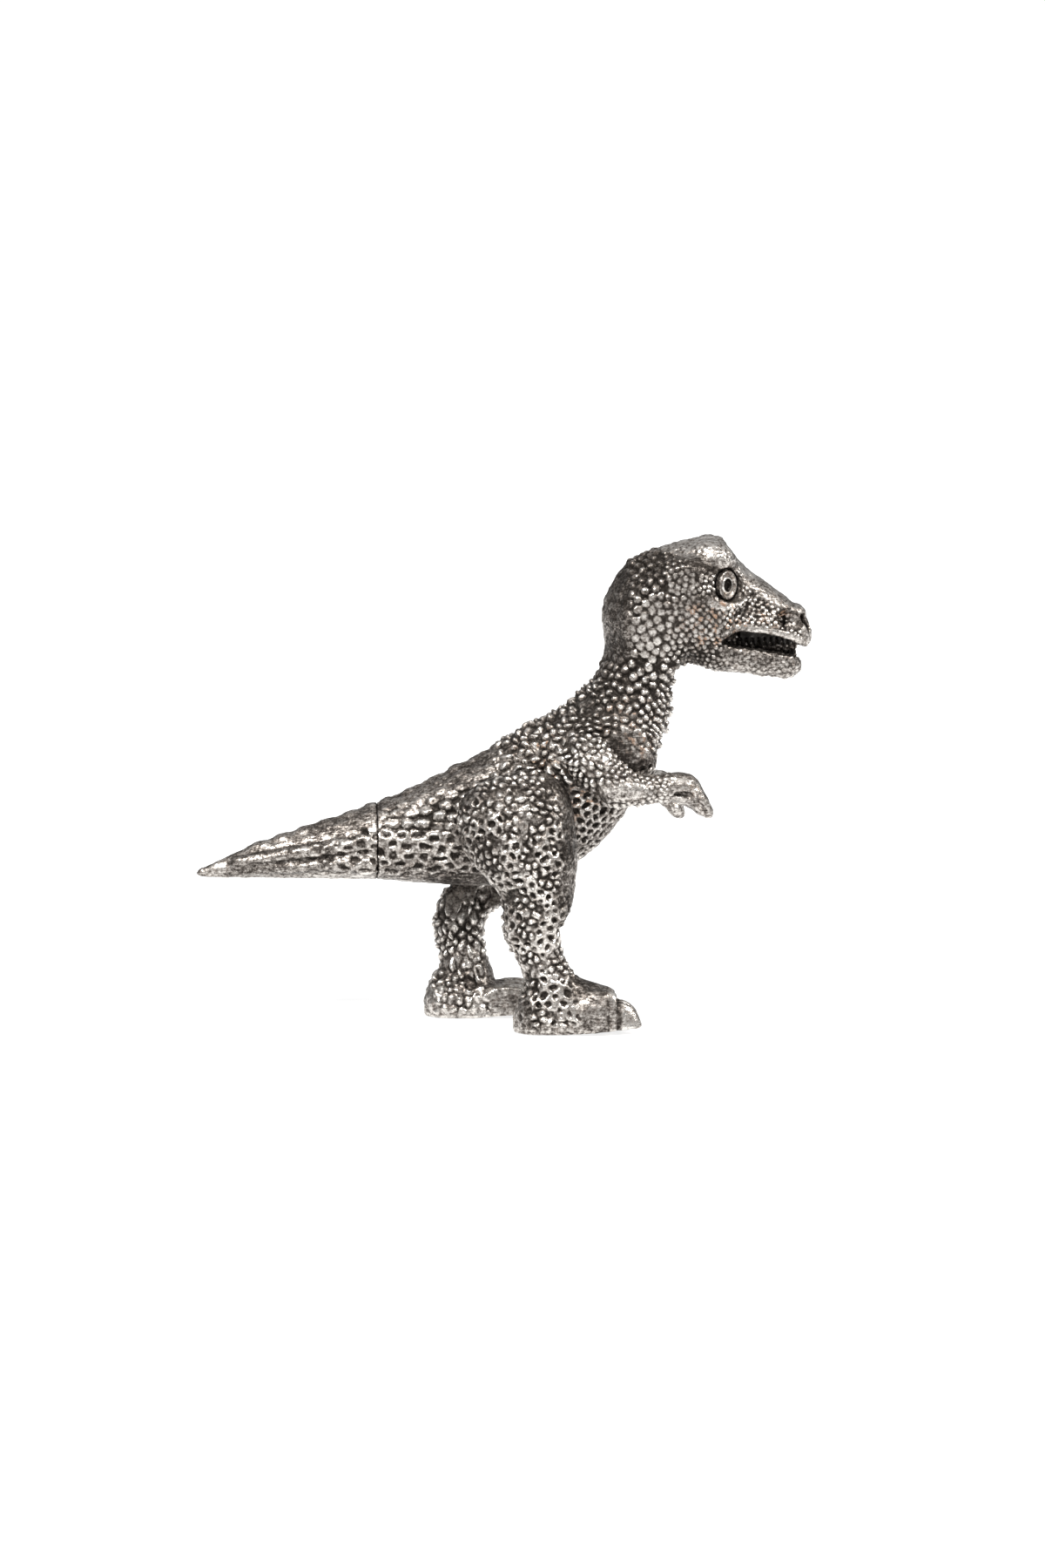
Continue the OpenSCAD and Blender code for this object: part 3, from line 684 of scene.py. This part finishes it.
def face_skin(skin, points):
    """The head's part of the body's skin: fine beads, and smooth crown, ridge, temple, lid, lips and jaw."""
    x, _, z = points.T
    face = ease(44, 53, x) * ease(112, 118, z)
    skin.paint(face, pitch=np.interp(x, [50, 62, 84], [2.5, 1.9, 1.6]))
    skin.paint(face, height=np.interp(x, [50, 62], [1.2, 0.8]))
    skin.lift("round", 0.8 * face)
    crown = ease(150.4, 152.6, z + 0.28 * (x - 60))
    ridge = ease(73, 76, x) * ease(-9, -5, z - (144.4 - 0.76 * (x - 85)))
    temple = around(points, (61.6, 13, 151), (6, 9, 4))
    lid = ease(1.6, 0.8, np.abs(z - 137.4 - 0.05 * (x - 70) ** 2)) * ease(62, 65, x) * ease(79, 76, x)
    lips = ease(1.9, 1.0, np.abs(z - 1.2 - curve(UPPER_LIP, x))) * ease(68, 71, x)
    jaw = ease(66, 72, x) * ease(0.6, -0.6, z - curve(LOWER_LIP, x))
    nose = ease(94.6, 96.4, x)
    skin.lift("calm", (0.8 + 0.2 * wander(points, 5, 41)) * crown, 0.94 * ridge, 0.95 * temple, 0.8 * lid,
              0.9 * lips, 0.7 * jaw, 0.8 * nose)
    skin.shade += 0.05 * face + 0.02 * jaw + 0.22 * temple
    skin.shade -= 0.4 * crown + 0.2 * ridge + 0.2 * lid + 0.16 * lips


def tail_skin(points):
    """Rows of pits at the root, and lengthwise grooves towards the tip."""
    x, _, z = points.T
    along = (TAIL_JOINT_X - x) / (TAIL_JOINT_X - TAIL_TIP_X)
    skin = Skin(points, 3.8, 1.1, (9, 1.3, 1.3))
    skin.space = points / np.array([1.3, 1, 1])
    skin.pits = 0.85 * ease(0.36, 0.2, along)
    under = ease(52.5, 50.5, z + 3 * along)
    top = ease(-7.5, -4.5, z - curve([(row[0], row[1]) for row in reversed(TAIL)], x))
    skin.lift("calm", 0.93 * ease(0.24, 0.46, along), 0.85 * under, 0.85 * top)
    # Painted reflection: the underside is painted brighter, as though the white floor lights it from below.
    skin.shade += 0.06 + 0.1 * ease(0.2, 0.5, along) + 0.02 * top - 0.12 * under
    skin.free = ease(-0.6, 0.8, TAIL_JOINT_X - x)
    return skin


def leg_skin(points, side):
    """Mixed beads and pits on the haunch, brushed claws, and cobbles on the left shin and foot."""
    x, y, z = points.T
    out = side * y
    x = x - stride(side, z)
    skin = Skin(points, 3.2, 1.3, (2.6, 2.6, 2.6))
    skin.pits = ease(-0.2, 0.1, wander(points, 7, 31)) * ease(80, 74, z)
    skin.paint(skin.pits, pitch=3.9)
    skin.calm = 0.35 * ease(0.0, 0.4, wander(points, 8, 32))
    top_row = ease(3.4, 1.8, np.abs(z - 76.8 + 0.02 * (x - 4) ** 2))
    skin.paint(top_row, pits=0, height=1.6)
    # A smooth rolled edge at the front of the haunch, and smooth claws, toes, heel and sole edge.
    front = ease(15.6, 18.4, x + 0.012 * (z - 60) ** 2) * ease(36, 44, z)
    claws = ease(20, 23, x + 0.3 * (z - 8)) * ease(20, 17, z)
    heel = ease(8, 5, x) * ease(12, 9, z)
    skin.lift("calm", 0.75 * front, 0.95 * claws, 0.7 * heel, 0.8 * ease(3.4, 2.2, z))
    end = np.where(out > FOOT_Y - TOE_SPREAD / 2, TOES[1][1], TOES[0][1])
    end = end + (LEFT_TOES_LONGER if side > 0 else 0)
    toes = ease(18, 15, z)
    # Darker along the fine groove at each claw, and lighter on a band just short of the toe's end.
    claw_groove = ease(1.3, 0.4, np.abs(x - end - 0.2)) * toes
    toe_rim = ease(1.4, 0.5, np.abs(x - end + 1.6)) * toes
    skin.shade += 0.03 + 0.08 * front + 0.12 * claws + 0.28 * claw_groove - 0.2 * toe_rim - 0.2 * top_row
    skin.shade -= 0.26 * claws * ease(end + 0.6, end + 2, x)
    if side > 0:
        shin = ease(54, 44, z)
        skin.space = points / np.array([1, 1, 1.35])
        skin.paint(shin, pitch=3.1, height=1.3, pits=0)
        skin.shade -= 0.1 * shin
    skin.free = ease(0.3, 1.2, z) * ease(0.0, 1.0, out - inner_face(z))
    return skin


def arm_skin(points, side):
    """Small square scales on the upper arm and wrist, and a polished hand."""
    x, y, _ = points.T
    skin = Skin(points, 2.2, 0.85, (7, 1.2, 1.2))
    skin.paint(ease(33, 27, x), pitch=3.0, height=1.3)
    skin.paint(ease(40, 46, x), pitch=1.8, height=0.5)
    hand = ease(50, 53, x)
    skin.lift("calm", 0.97 * hand, 0.85 * around(points, (36, 24, 79), (12, 9, 4.6)))
    skin.free = ease(0.2, 1.4, side * y - LIMB_Y)
    skin.shade += 0.04 * hand
    skin.warm = 0.7 * around(points, (60, 22, 80), (9, 6, 5))
    return skin


# ---- meshes and pieces
def add_object(name, data):
    """A new object in the scene."""
    thing = bpy.data.objects.new(name, data)
    bpy.context.scene.collection.objects.link(thing)
    return thing


def new_mesh(name, points, faces, layers):
    """A smooth mesh object from points in millimetres, with a value at each point for every layer."""
    mesh = bpy.data.meshes.new(name)
    mesh.from_pydata((points * MM).tolist(), [], faces)
    for key, values in layers.items():
        layer = mesh.attributes.new(key, "FLOAT", "POINT")
        layer.data.foreach_set("value", np.asarray(values, np.float32))
    mesh.polygons.foreach_set("use_smooth", [True] * len(mesh.polygons))
    mesh.update()
    return add_object(name, mesh)


def sharpen(mesh, degrees):
    """Marks edges sharper than an angle, so that flat faces meet at a crisp edge."""
    work = bmesh.new()
    work.from_mesh(mesh)
    limit = math.radians(degrees)
    for edge in work.edges:
        if len(edge.link_faces) == 2 and edge.calc_face_angle(0) > limit:
            edge.smooth = False
    work.to_mesh(mesh)
    work.free()


def half_of(thing, name, side):
    """A copy of a mesh cut flat at y = 0 and closed there, with only one side kept."""
    work = bmesh.new()
    work.from_mesh(thing.data)
    bmesh.ops.bisect_plane(
        work, geom=list(work.verts) + list(work.edges) + list(work.faces), dist=1e-7,
        plane_co=(0, 0, 0), plane_no=(0, side, 0), clear_inner=True)
    rim = [e for e in work.edges if e.is_boundary]
    made = bmesh.ops.triangle_fill(work, use_beauty=False, use_dissolve=False, edges=rim)
    for face in [f for f in made["geom"] if isinstance(f, bmesh.types.BMFace)]:
        face.smooth = False
        if face.normal.y * side > 0:
            face.normal_flip()
    for edge in rim:
        if edge.is_valid:
            edge.smooth = False
    mesh = bpy.data.meshes.new(name)
    work.to_mesh(mesh)
    work.free()
    return add_object(name, mesh)


def occlusion(points, normals, clays):
    """How closed in each point is, from 0 in the open to 1 in a corner."""
    total = np.zeros(len(points))
    for reach in (1.0, 2.4, 5.0):
        probe = points + normals * reach
        near = np.minimum.reduce([clay.value(probe) for clay in clays])
        total += np.clip(1 - near / reach, 0, 1) / 3
    return total


def cast(name, clay, skin_of, clays, seed, keep):
    """A mesh object of one casting, with its scales and with its tarnish, painted shade and painted light at
    each point. skin_of gives the skin at points, and keep holds the moved points within the casting's own
    room."""
    points, quads = clay.mesh()
    normals = normals_of(points, quads)
    skin = skin_of(points)
    moved, depth, luck = add_scales(points, quads, normals, skin, seed)
    moved = keep(moved, points)
    # Painted shade, partly standing for tarnish in corners: points closed in by nearby surfaces, those of the
    # other castings too, are darkened.
    closed = occlusion(points, normals, clays)
    # Painted light: the upper side of every scale is painted brighter than its lower side, as if lit from
    # above.
    painted_top_light = (normals_of(moved, quads) - normals) @ np.array([-0.35, 0, 0.94])
    # Tarnish in the grooves and random tone per scale, plus the skin's shade, the painted shade of closed-in
    # places and the painted light on the scales' tops.
    patina = 0.3 + depth + 0.75 * closed + skin.shade + 0.2 * (luck - 0.5)
    patina += 0.12 * skin.round - (0.34 + 0.22 * skin.round) * painted_top_light
    layers = {"patina": np.clip(patina, 0, 1), "calm": skin.calm, "warm": skin.warm}
    return new_mesh(name, moved, quads.tolist(), layers)


def wear(thing, material):
    thing.data.materials.clear()
    thing.data.materials.append(material)


def hand_in(piece, material, body, node):
    """Gives a piece its material and body, and lets it stand for a CAD node, which it hides."""
    wear(piece, material)
    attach(piece, body)
    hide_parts(node)


# ---- materials
class Nodes:
    """A short way to write the nodes of a material or world."""

    def __init__(self, owner):
        owner.use_nodes = True
        self.owner = owner
        self.tree = owner.node_tree

    def add(self, kind, sockets=None, **settings):
        """A node with its settings, and its input sockets linked or set."""
        node = self.tree.nodes.new("ShaderNode" + kind)
        for key, value in settings.items():
            setattr(node, key, value)
        for key, value in (sockets or {}).items():
            self.put(node.inputs[key], value)
        return node

    def put(self, socket, value):
        """Links or sets an input socket. A colour is given without its alpha."""
        if isinstance(value, bpy.types.NodeSocket):
            self.tree.links.new(value, socket)
        elif socket.type == "RGBA":
            socket.default_value = (*value, 1)
        else:
            socket.default_value = value

    def shader(self, **values):
        """Sets the surface shader's sockets, whose names are given with _ for a space."""
        for key, value in values.items():
            self.put(self.tree.nodes["Principled BSDF"].inputs[key.replace("_", " ")], value)

    def math(self, operation, a, b=0.0, clamp=False):
        return self.add("Math", {0: a, 1: b}, operation=operation, use_clamp=clamp).outputs[0]

    def times(self, a, b, clamp=False):
        return self.math("MULTIPLY", a, b, clamp)

    def total(self, first, *more, clamp=False):
        """The sum of all the values, clamped to 0 to 1 at the end if asked."""
        for i, value in enumerate(more):
            first = self.math("ADD", first, value, clamp and i == len(more) - 1)
        return first

    def attribute(self, name):
        return self.add("Attribute", attribute_name=name).outputs["Fac"]

    def noise(self, size, detail=2.0, stretch=(1, 1, 1)):
        """Noise with features of about this size in millimetres, in the piece's own space."""
        place = self.add("TexCoord").outputs["Object"]
        scaled = self.add("Mapping", {"Vector": place, "Scale": [1000 / (size * s) for s in stretch]})
        sockets = {"Vector": scaled.outputs[0], "Scale": 1.0, "Detail": detail, "Roughness": 0.55}
        return self.add("TexNoise", sockets).outputs["Fac"]

    def remap(self, value, low, high, to_low, to_high):
        sockets = {"Value": value, "From Min": low, "From Max": high, "To Min": to_low, "To Max": to_high}
        return self.add("MapRange", sockets).outputs[0]

    def spread(self, noise_value, amount):
        """Noise turned into an amount either way of zero."""
        return self.remap(noise_value, 0.3, 0.7, -amount, amount)

    def ramp(self, value, stops):
        node = self.add("ValToRGB", {"Fac": value})
        colours = node.color_ramp.elements
        while len(colours) < len(stops):
            colours.new(0.5)
        for stop, (place, colour) in zip(colours, stops):
            stop.position = place
            stop.color = (*colour, 1)
        return node.outputs["Color"]

    def mix(self, amount, a, b):
        return self.add("Mix", {0: amount, 6: a, 7: b}, data_type="RGBA").outputs[2]

    def bump(self, height, strength, distance):
        node = self.add("Bump", {"Height": height, "Strength": strength, "Distance": distance * MM})
        self.shader(Normal=node.outputs[0])


def antique_silver(name, lines=(6, 0.5, 0.5)):
    """Cast silver: bright on the high places, brown-black in the low ones, with fine brush lines, and with
    the painted shade and painted highlights that the castings' values carry.
    """
    m = Nodes(bpy.data.materials.new(name))
    fine, grain, cloud = m.noise(0.9), m.noise(0.32, 3), m.noise(9)
    brush, calm = m.noise(0.8, 3, lines), m.attribute("calm")
    lined = m.times(m.spread(brush, 0.16), m.total(calm, 0.45))
    # The darkness that picks the colour: tarnish and random tone, with the painted shade and painted light
    # carried from the castings.
    stain_and_painted_light = m.total(m.attribute("patina"), m.spread(fine, 0.24), m.spread(grain, 0.15), m.spread(cloud, 0.1),
                    lined, clamp=True)
    metal = m.ramp(stain_and_painted_light, [
        (0.0, (0.74, 0.705, 0.665)), (0.22, (0.53, 0.5, 0.468)), (0.46, (0.235, 0.213, 0.195)),
        (0.72, (0.075, 0.065, 0.058)), (1.0, (0.026, 0.022, 0.019)),
    ])
    # Rust-brown tints in the middle tones of the warm places.
    off_middle = m.math("ABSOLUTE", m.remap(stain_and_painted_light, 0.2, 0.7, -1.0, 1.0))
    middle_tones = m.math("SUBTRACT", 1.0, off_middle, clamp=True)
    rust = m.times(middle_tones, m.remap(m.noise(2.6), 0.5, 0.66, 0.0, 0.75), clamp=True)
    rust = m.times(rust, m.total(m.times(m.attribute("warm"), 1.6), 0.12), clamp=True)
    roughness = m.total(m.remap(stain_and_painted_light, 0.0, 0.9, 0.2, 0.6), m.remap(grain, 0.3, 0.7, -0.04, 0.06))
    m.shader(Base_Color=m.mix(rust, metal, (0.42, 0.26, 0.17)), Roughness=roughness, Metallic=1.0)
    m.bump(m.total(m.times(grain, 0.6), m.times(m.times(brush, calm), 1.1)), 0.55, 0.16)
    return m.owner


def turned_metal(name, bright, dark, roughness):
    """Machined metal with fine turning marks and a little oxide."""
    m = Nodes(bpy.data.materials.new(name))
    marks = m.noise(0.16, 2, (1, 40, 1))
    oxide = m.remap(m.noise(3, 3), 0.35, 0.7, 0.0, 0.8)
    m.shader(Base_Color=m.mix(oxide, bright, dark), Metallic=1.0,
             Roughness=m.remap(marks, 0.3, 0.7, roughness - 0.06, roughness + 0.1))
    m.bump(marks, 0.3, 0.03)
    return m.owner


def blackened_and_shaded(name):
    """Metal left dark from the darkening bath and rubbed a little lighter in places; its near-black is partly
    painted shade for the inside of the mouth.
    """
    m = Nodes(bpy.data.materials.new(name))
    grain = m.noise(0.3, 3)
    colour = m.ramp(m.noise(1.6, 3), [(0.35, (0.012, 0.011, 0.01)), (0.6, (0.035, 0.032, 0.03)),
                                      (0.75, (0.12, 0.115, 0.11))])
    m.shader(Base_Color=colour, Roughness=m.remap(grain, 0.3, 0.7, 0.42, 0.62), Metallic=1.0)
    m.bump(grain, 0.35, 0.08)
    return m.owner


SILVER = antique_silver("antique_silver")
LEG_SILVER = antique_silver("antique_silver_leg", (3.2, 1, 0.8))
EYE_METAL = antique_silver("eye_metal", (1, 1, 1))
BLACK_AND_SHADE = blackened_and_shaded("blackened_metal")
STEEL = turned_metal("steel", (0.56, 0.55, 0.53), (0.36, 0.35, 0.34), 0.3)
BRONZE = turned_metal("bronze", (0.72, 0.47, 0.24), (0.4, 0.24, 0.12), 0.36)


# ---- the castings as pieces
def keep_trunk(moved, points):
    """Clear of the limbs and of the tail."""
    x, y, z = moved.T
    limit = LIMB_Y - 0.3
    return np.column_stack([np.maximum(x, TAIL_JOINT_X), np.clip(y, -limit, limit), z])


def keep_tail(moved, points):
    """Behind the trunk."""
    x, y, z = moved.T
    return np.column_stack([np.minimum(x, TAIL_JOINT_X - 0.05), y, z])


def keep_leg(moved, points, side):
    """Off the flank and above the ground."""
    x, y, z = moved.T
    return np.column_stack([x, side * np.maximum(side * y, inner_face(points[:, 2])), np.maximum(z, 0)])


def keep_arm(moved, points, side):
    """Off the chest."""
    x, y, z = moved.T
    return np.column_stack([x, side * np.maximum(side * y, LIMB_Y), z])


def make_castings():
    body, tail = body_clay(), tail_clay()
    legs = {side: leg_clay(side) for side, _ in SIDES}
    arms = {side: arm_clay(side) for side, _ in SIDES}
    clays = [body, tail, *legs.values(), *arms.values()]

    whole = cast("body_whole", body, body_skin, clays, SEED, keep_trunk)
    for side, word in SIDES:
        half = half_of(whole, "casting_" + word, side)
        hand_in(half, SILVER, "trunk", "body_" + word)
    bpy.data.objects.remove(whole)

    piece = cast("tail_casting", tail, tail_skin, clays, SEED + 10, keep_tail)
    sharpen(piece.data, 50)
    hand_in(piece, SILVER, "trunk", "tail")

    limbs = (
        ("leg", legs, leg_skin, keep_leg, LEG_SILVER, SEED + 20),
        ("arm", arms, arm_skin, keep_arm, SILVER, SEED + 30),
    )
    for limb, limb_clays, skin_of, keep, material, seed in limbs:
        for side, word in SIDES:
            piece = cast(f"{limb}_casting_{word}", limb_clays[side], partial(skin_of, side=side), clays,
                         seed + side, partial(keep, side=side))
            sharpen(piece.data, 50)
            hand_in(piece, material, f"{limb}_{word}", f"{limb}_{word}")


# ---- eyes, teeth and the tail plug
def lathe(name, profile, segments=72):
    """A closed turned piece about Z from [radius, height, patina] rows, the first and last on the axis."""
    points, stains, faces = [], [], []
    turn = 2 * math.pi / segments
    for r, h, stain_and_painted_light in profile[1:-1]:
        points += [(r * math.cos(turn * i), r * math.sin(turn * i), h) for i in range(segments)]
        stains += [stain_and_painted_light] * segments
    after = [*range(1, segments), 0]
    last = (len(profile) - 3) * segments
    for row in range(0, last, segments):
        faces += [(row + i, row + n, row + segments + n, row + segments + i) for i, n in enumerate(after)]
    for (_, h, stain_and_painted_light), row, way in ((profile[0], 0, -1), (profile[-1], last, 1)):
        tip = len(points)
        points.append((0, 0, h))
        stains.append(stain_and_painted_light)
        faces += [(*(row + i, row + n)[::way], tip) for i, n in enumerate(after)]
    thing = new_mesh(name, np.array(points), faces,
                     {"patina": stains, "calm": np.full(len(points), 0.6), "warm": np.full(len(points), 0.2)})
    sharpen(thing.data, 40)
    return thing


def make_eyes():
    """Dished discs with a raised ring round a drilled pupil."""
    profile = [
        [0, -2.2, 1], [4.2, -2.2, 0.9], [EYE_R, -1.9, 0.9], [EYE_R, -0.5, 0.8], [EYE_R - 0.3, -0.3, 0.45],
        [EYE_R - 0.8, -0.45, 0.5], [3.4, -0.95, 0.5], [2.9, -0.95, 0.55], [2.75, -0.65, 0.1],
        [2.55, -0.5, 0.0], [2.2, -0.5, 0.0], [2.1, -0.56, 1], [1.95, -1.2, 1], [1.6, -1.9, 1], [0, -1.95, 1],
    ]
    for side, word in SIDES:
        eye = lathe("eye_disc_" + word, profile)
        turn = math.radians(EYE_TURN) * side
        out, upright = Vector((math.cos(turn), math.sin(turn), 0)), Vector((0, 0, 1))
        facing = Matrix((upright.cross(out), upright, out)).transposed().to_4x4()
        eye.data.transform(Matrix.Translation(Vector((EYE[0], EYE[1] * side, EYE[2])) * MM) @ facing)
        hand_in(eye, EYE_METAL, "trunk", "eye_" + word)


def gum_outline(inset, step=0.8):
    """Points round a tooth row from the right rear, round the front, to the left rear."""
    rear = [[x, w - inset] for x, w in GUM]
    front = [[GUM[-1][0] + 1.2 - inset, 0.0]]
    side = spline(rear + front, step)
    return [(x, -w) for x, w in side] + [(x, w) for x, w in side[-2::-1]]


def make_teeth():
    """Two gums, each with a row of small blunt teeth."""
    for word, base, way in (("upper", UPPER_GUM_Z - GUM_T, -1), ("lower", LOWER_GUM_Z + GUM_T, 1)):
        work = bmesh.new()
        outline = gum_outline(0.15)
        rims = [[work.verts.new((x, y, base - way * h)) for x, y in outline] for h in (0.0, GUM_T)]
        count = len(outline)
        for i in range(count):
            n = (i + 1) % count
            work.faces.new((rims[0][i], rims[0][n], rims[1][n], rims[1][i]))
        for rim in rims:
            work.faces.new(rim)
        path = spline([[x, w, 0, 0] for x, w in gum_outline(1.15)][::4], 0.9)
        steps = np.concatenate([[0], np.cumsum(np.linalg.norm(np.diff(path[:, :2], axis=0), axis=1))])
        for s in np.arange(0.9, steps[-1] - 0.5, 2.05):
            x, y = np.interp(s, steps, path[:, 0]), np.interp(s, steps, path[:, 1])
            tooth(work, x, y, base, way)
        bmesh.ops.recalc_face_normals(work, faces=work.faces)
        bmesh.ops.scale(work, vec=(MM, MM, MM), verts=work.verts)
        mesh = bpy.data.meshes.new("tooth_row_" + word)
        work.to_mesh(mesh)
        work.free()
        row = add_object("tooth_row_" + word, mesh)
        # Near-black teeth: partly tarnish and partly painted shade for the inside of the mouth.
        hand_in(row, BLACK_AND_SHADE, "trunk", "teeth_" + word)


def tooth(work, x, y, base, way, length=3.1, radius=0.85, sides=10):
    """A blunt cone standing on a gum."""
    rings = []
    for t, r in ((-0.15, 1.0), (0.3, 0.95), (0.65, 0.7), (0.9, 0.4)):
        rings.append([work.verts.new((x + radius * r * math.cos(a), y + radius * r * math.sin(a),
                                      base + way * length * t))
                      for a in np.arange(sides) * 2 * math.pi / sides])
    for low, high in zip(rings, rings[1:]):
        for i in range(sides):
            work.faces.new((low[i], low[(i + 1) % sides], high[(i + 1) % sides], high[i]))
    work.faces.new(rings[0])
    work.faces.new(rings[-1])


def make_plug():
    """The small ringed plug in the tail."""
    low, high = node_box("tail_plug")
    middle = (low + high) / 2
    profile = [[0, -1.3, 1], [0.85, -1.3, 1], [0.9, 0.7, 1], [0.88, 1.0, 0.9], [0.62, 1.05, 0.5],
               [0.45, 1.3, 0.0], [0, 1.42, 0.0]]
    plug = lathe("tail_plug_head", profile, 32)
    plug.data.transform(Matrix.Translation(Vector(middle) * MM) @ Matrix.Rotation(math.pi / 2, 4, "X"))
    hand_in(plug, EYE_METAL, "trunk", "tail_plug")


def dress_hardware():
    """Gives the pivots, dowels and pins that stay as CAD their metals."""
    for name, node in frame["nodes"].items():
        if "bush" in name:
            wear(node, BRONZE)
        elif any(word in name for word in ("spindle", "washer", "nut", "dowel", "pin")):
            wear(node, STEEL)


# ---- studio
def make_floor():
    """A plain white table, level with the soles."""
    half = 20.0
    mesh = bpy.data.meshes.new("floor")
    corners = [(-half, -half, 0), (half, -half, 0), (half, half, 0), (-half, half, 0)]
    mesh.from_pydata(corners, [], [(0, 1, 2, 3)])
    floor = add_object("floor", mesh)
    floor.location = (0, 0, -0.0003)
    m = Nodes(bpy.data.materials.new("floor_white"))
    m.shader(Base_Color=m.mix(m.noise(40), (0.36, 0.36, 0.36), (0.37, 0.37, 0.37)), Roughness=0.9,
             Specular_IOR_Level=0.1, Emission_Color=(1, 1, 1), Emission_Strength=0.78)
    wear(floor, m.owner)


def sun_light(name, towards, strength, softness, colour):
    """A far soft light. towards points from the figurine to it, and softness is its width in degrees."""
    data = bpy.data.lights.new(name, "SUN")
    data.energy = strength
    data.angle = math.radians(softness)
    data.color = colour
    light = add_object(name, data)
    light.rotation_euler = (-Vector(towards)).to_track_quat("-Z", "Y").to_euler()


def make_world():
    """A white backdrop for the camera, and a soft room with darker walls for the metal to reflect."""
    world = bpy.data.worlds.new("studio")
    bpy.context.scene.world = world
    m = Nodes(world)
    height = m.add("SeparateXYZ", {0: m.add("TexCoord").outputs["Generated"]}).outputs["Z"]
    room = m.tree.nodes["Background"]
    m.put(room.inputs["Color"], m.ramp(height, [(0.0, (0.08, 0.08, 0.083)), (0.75, (1, 1, 1))]))
    m.put(room.inputs["Strength"], 0.7)
    backdrop = m.add("Background", {"Color": (1, 1, 1), "Strength": 1.05})
    to_camera = m.add("LightPath").outputs["Is Camera Ray"]
    mix = m.add("MixShader", {0: to_camera, 1: room.outputs[0], 2: backdrop.outputs[0]})
    m.put(m.tree.nodes["World Output"].inputs["Surface"], mix.outputs[0])


def make_camera():
    """A long lens, a little above level and a little round towards the tail."""
    target = Vector((0.0055, 0, 0.0785))
    distance, view_height, sensor_height = 1.2, 0.5106, 36
    elevation, yaw = math.radians(7), math.radians(4)
    back = Vector((-math.sin(yaw), -math.cos(yaw), math.tan(elevation))).normalized()
    data = bpy.data.cameras.new("camera")
    data.sensor_fit = "VERTICAL"
    data.sensor_height = sensor_height
    data.lens = sensor_height * distance / view_height
    camera = add_object("camera", data)
    camera.location = target + distance * back
    camera.rotation_euler = (-back).to_track_quat("-Z", "Y").to_euler()
    bpy.context.scene.camera = camera


def make_studio():
    make_camera()
    sun_light("key", (-0.45, -0.75, 0.9), 4.4, 10, (1, 0.99, 0.97))
    sun_light("fill", (0.8, -0.5, 0.75), 2.2, 16, (1, 0.98, 0.95))
    make_world()
    make_floor()
    bpy.context.scene.view_settings.view_transform = "Standard"


make_castings()
make_eyes()
make_teeth()
make_plug()
dress_hardware()
make_studio()
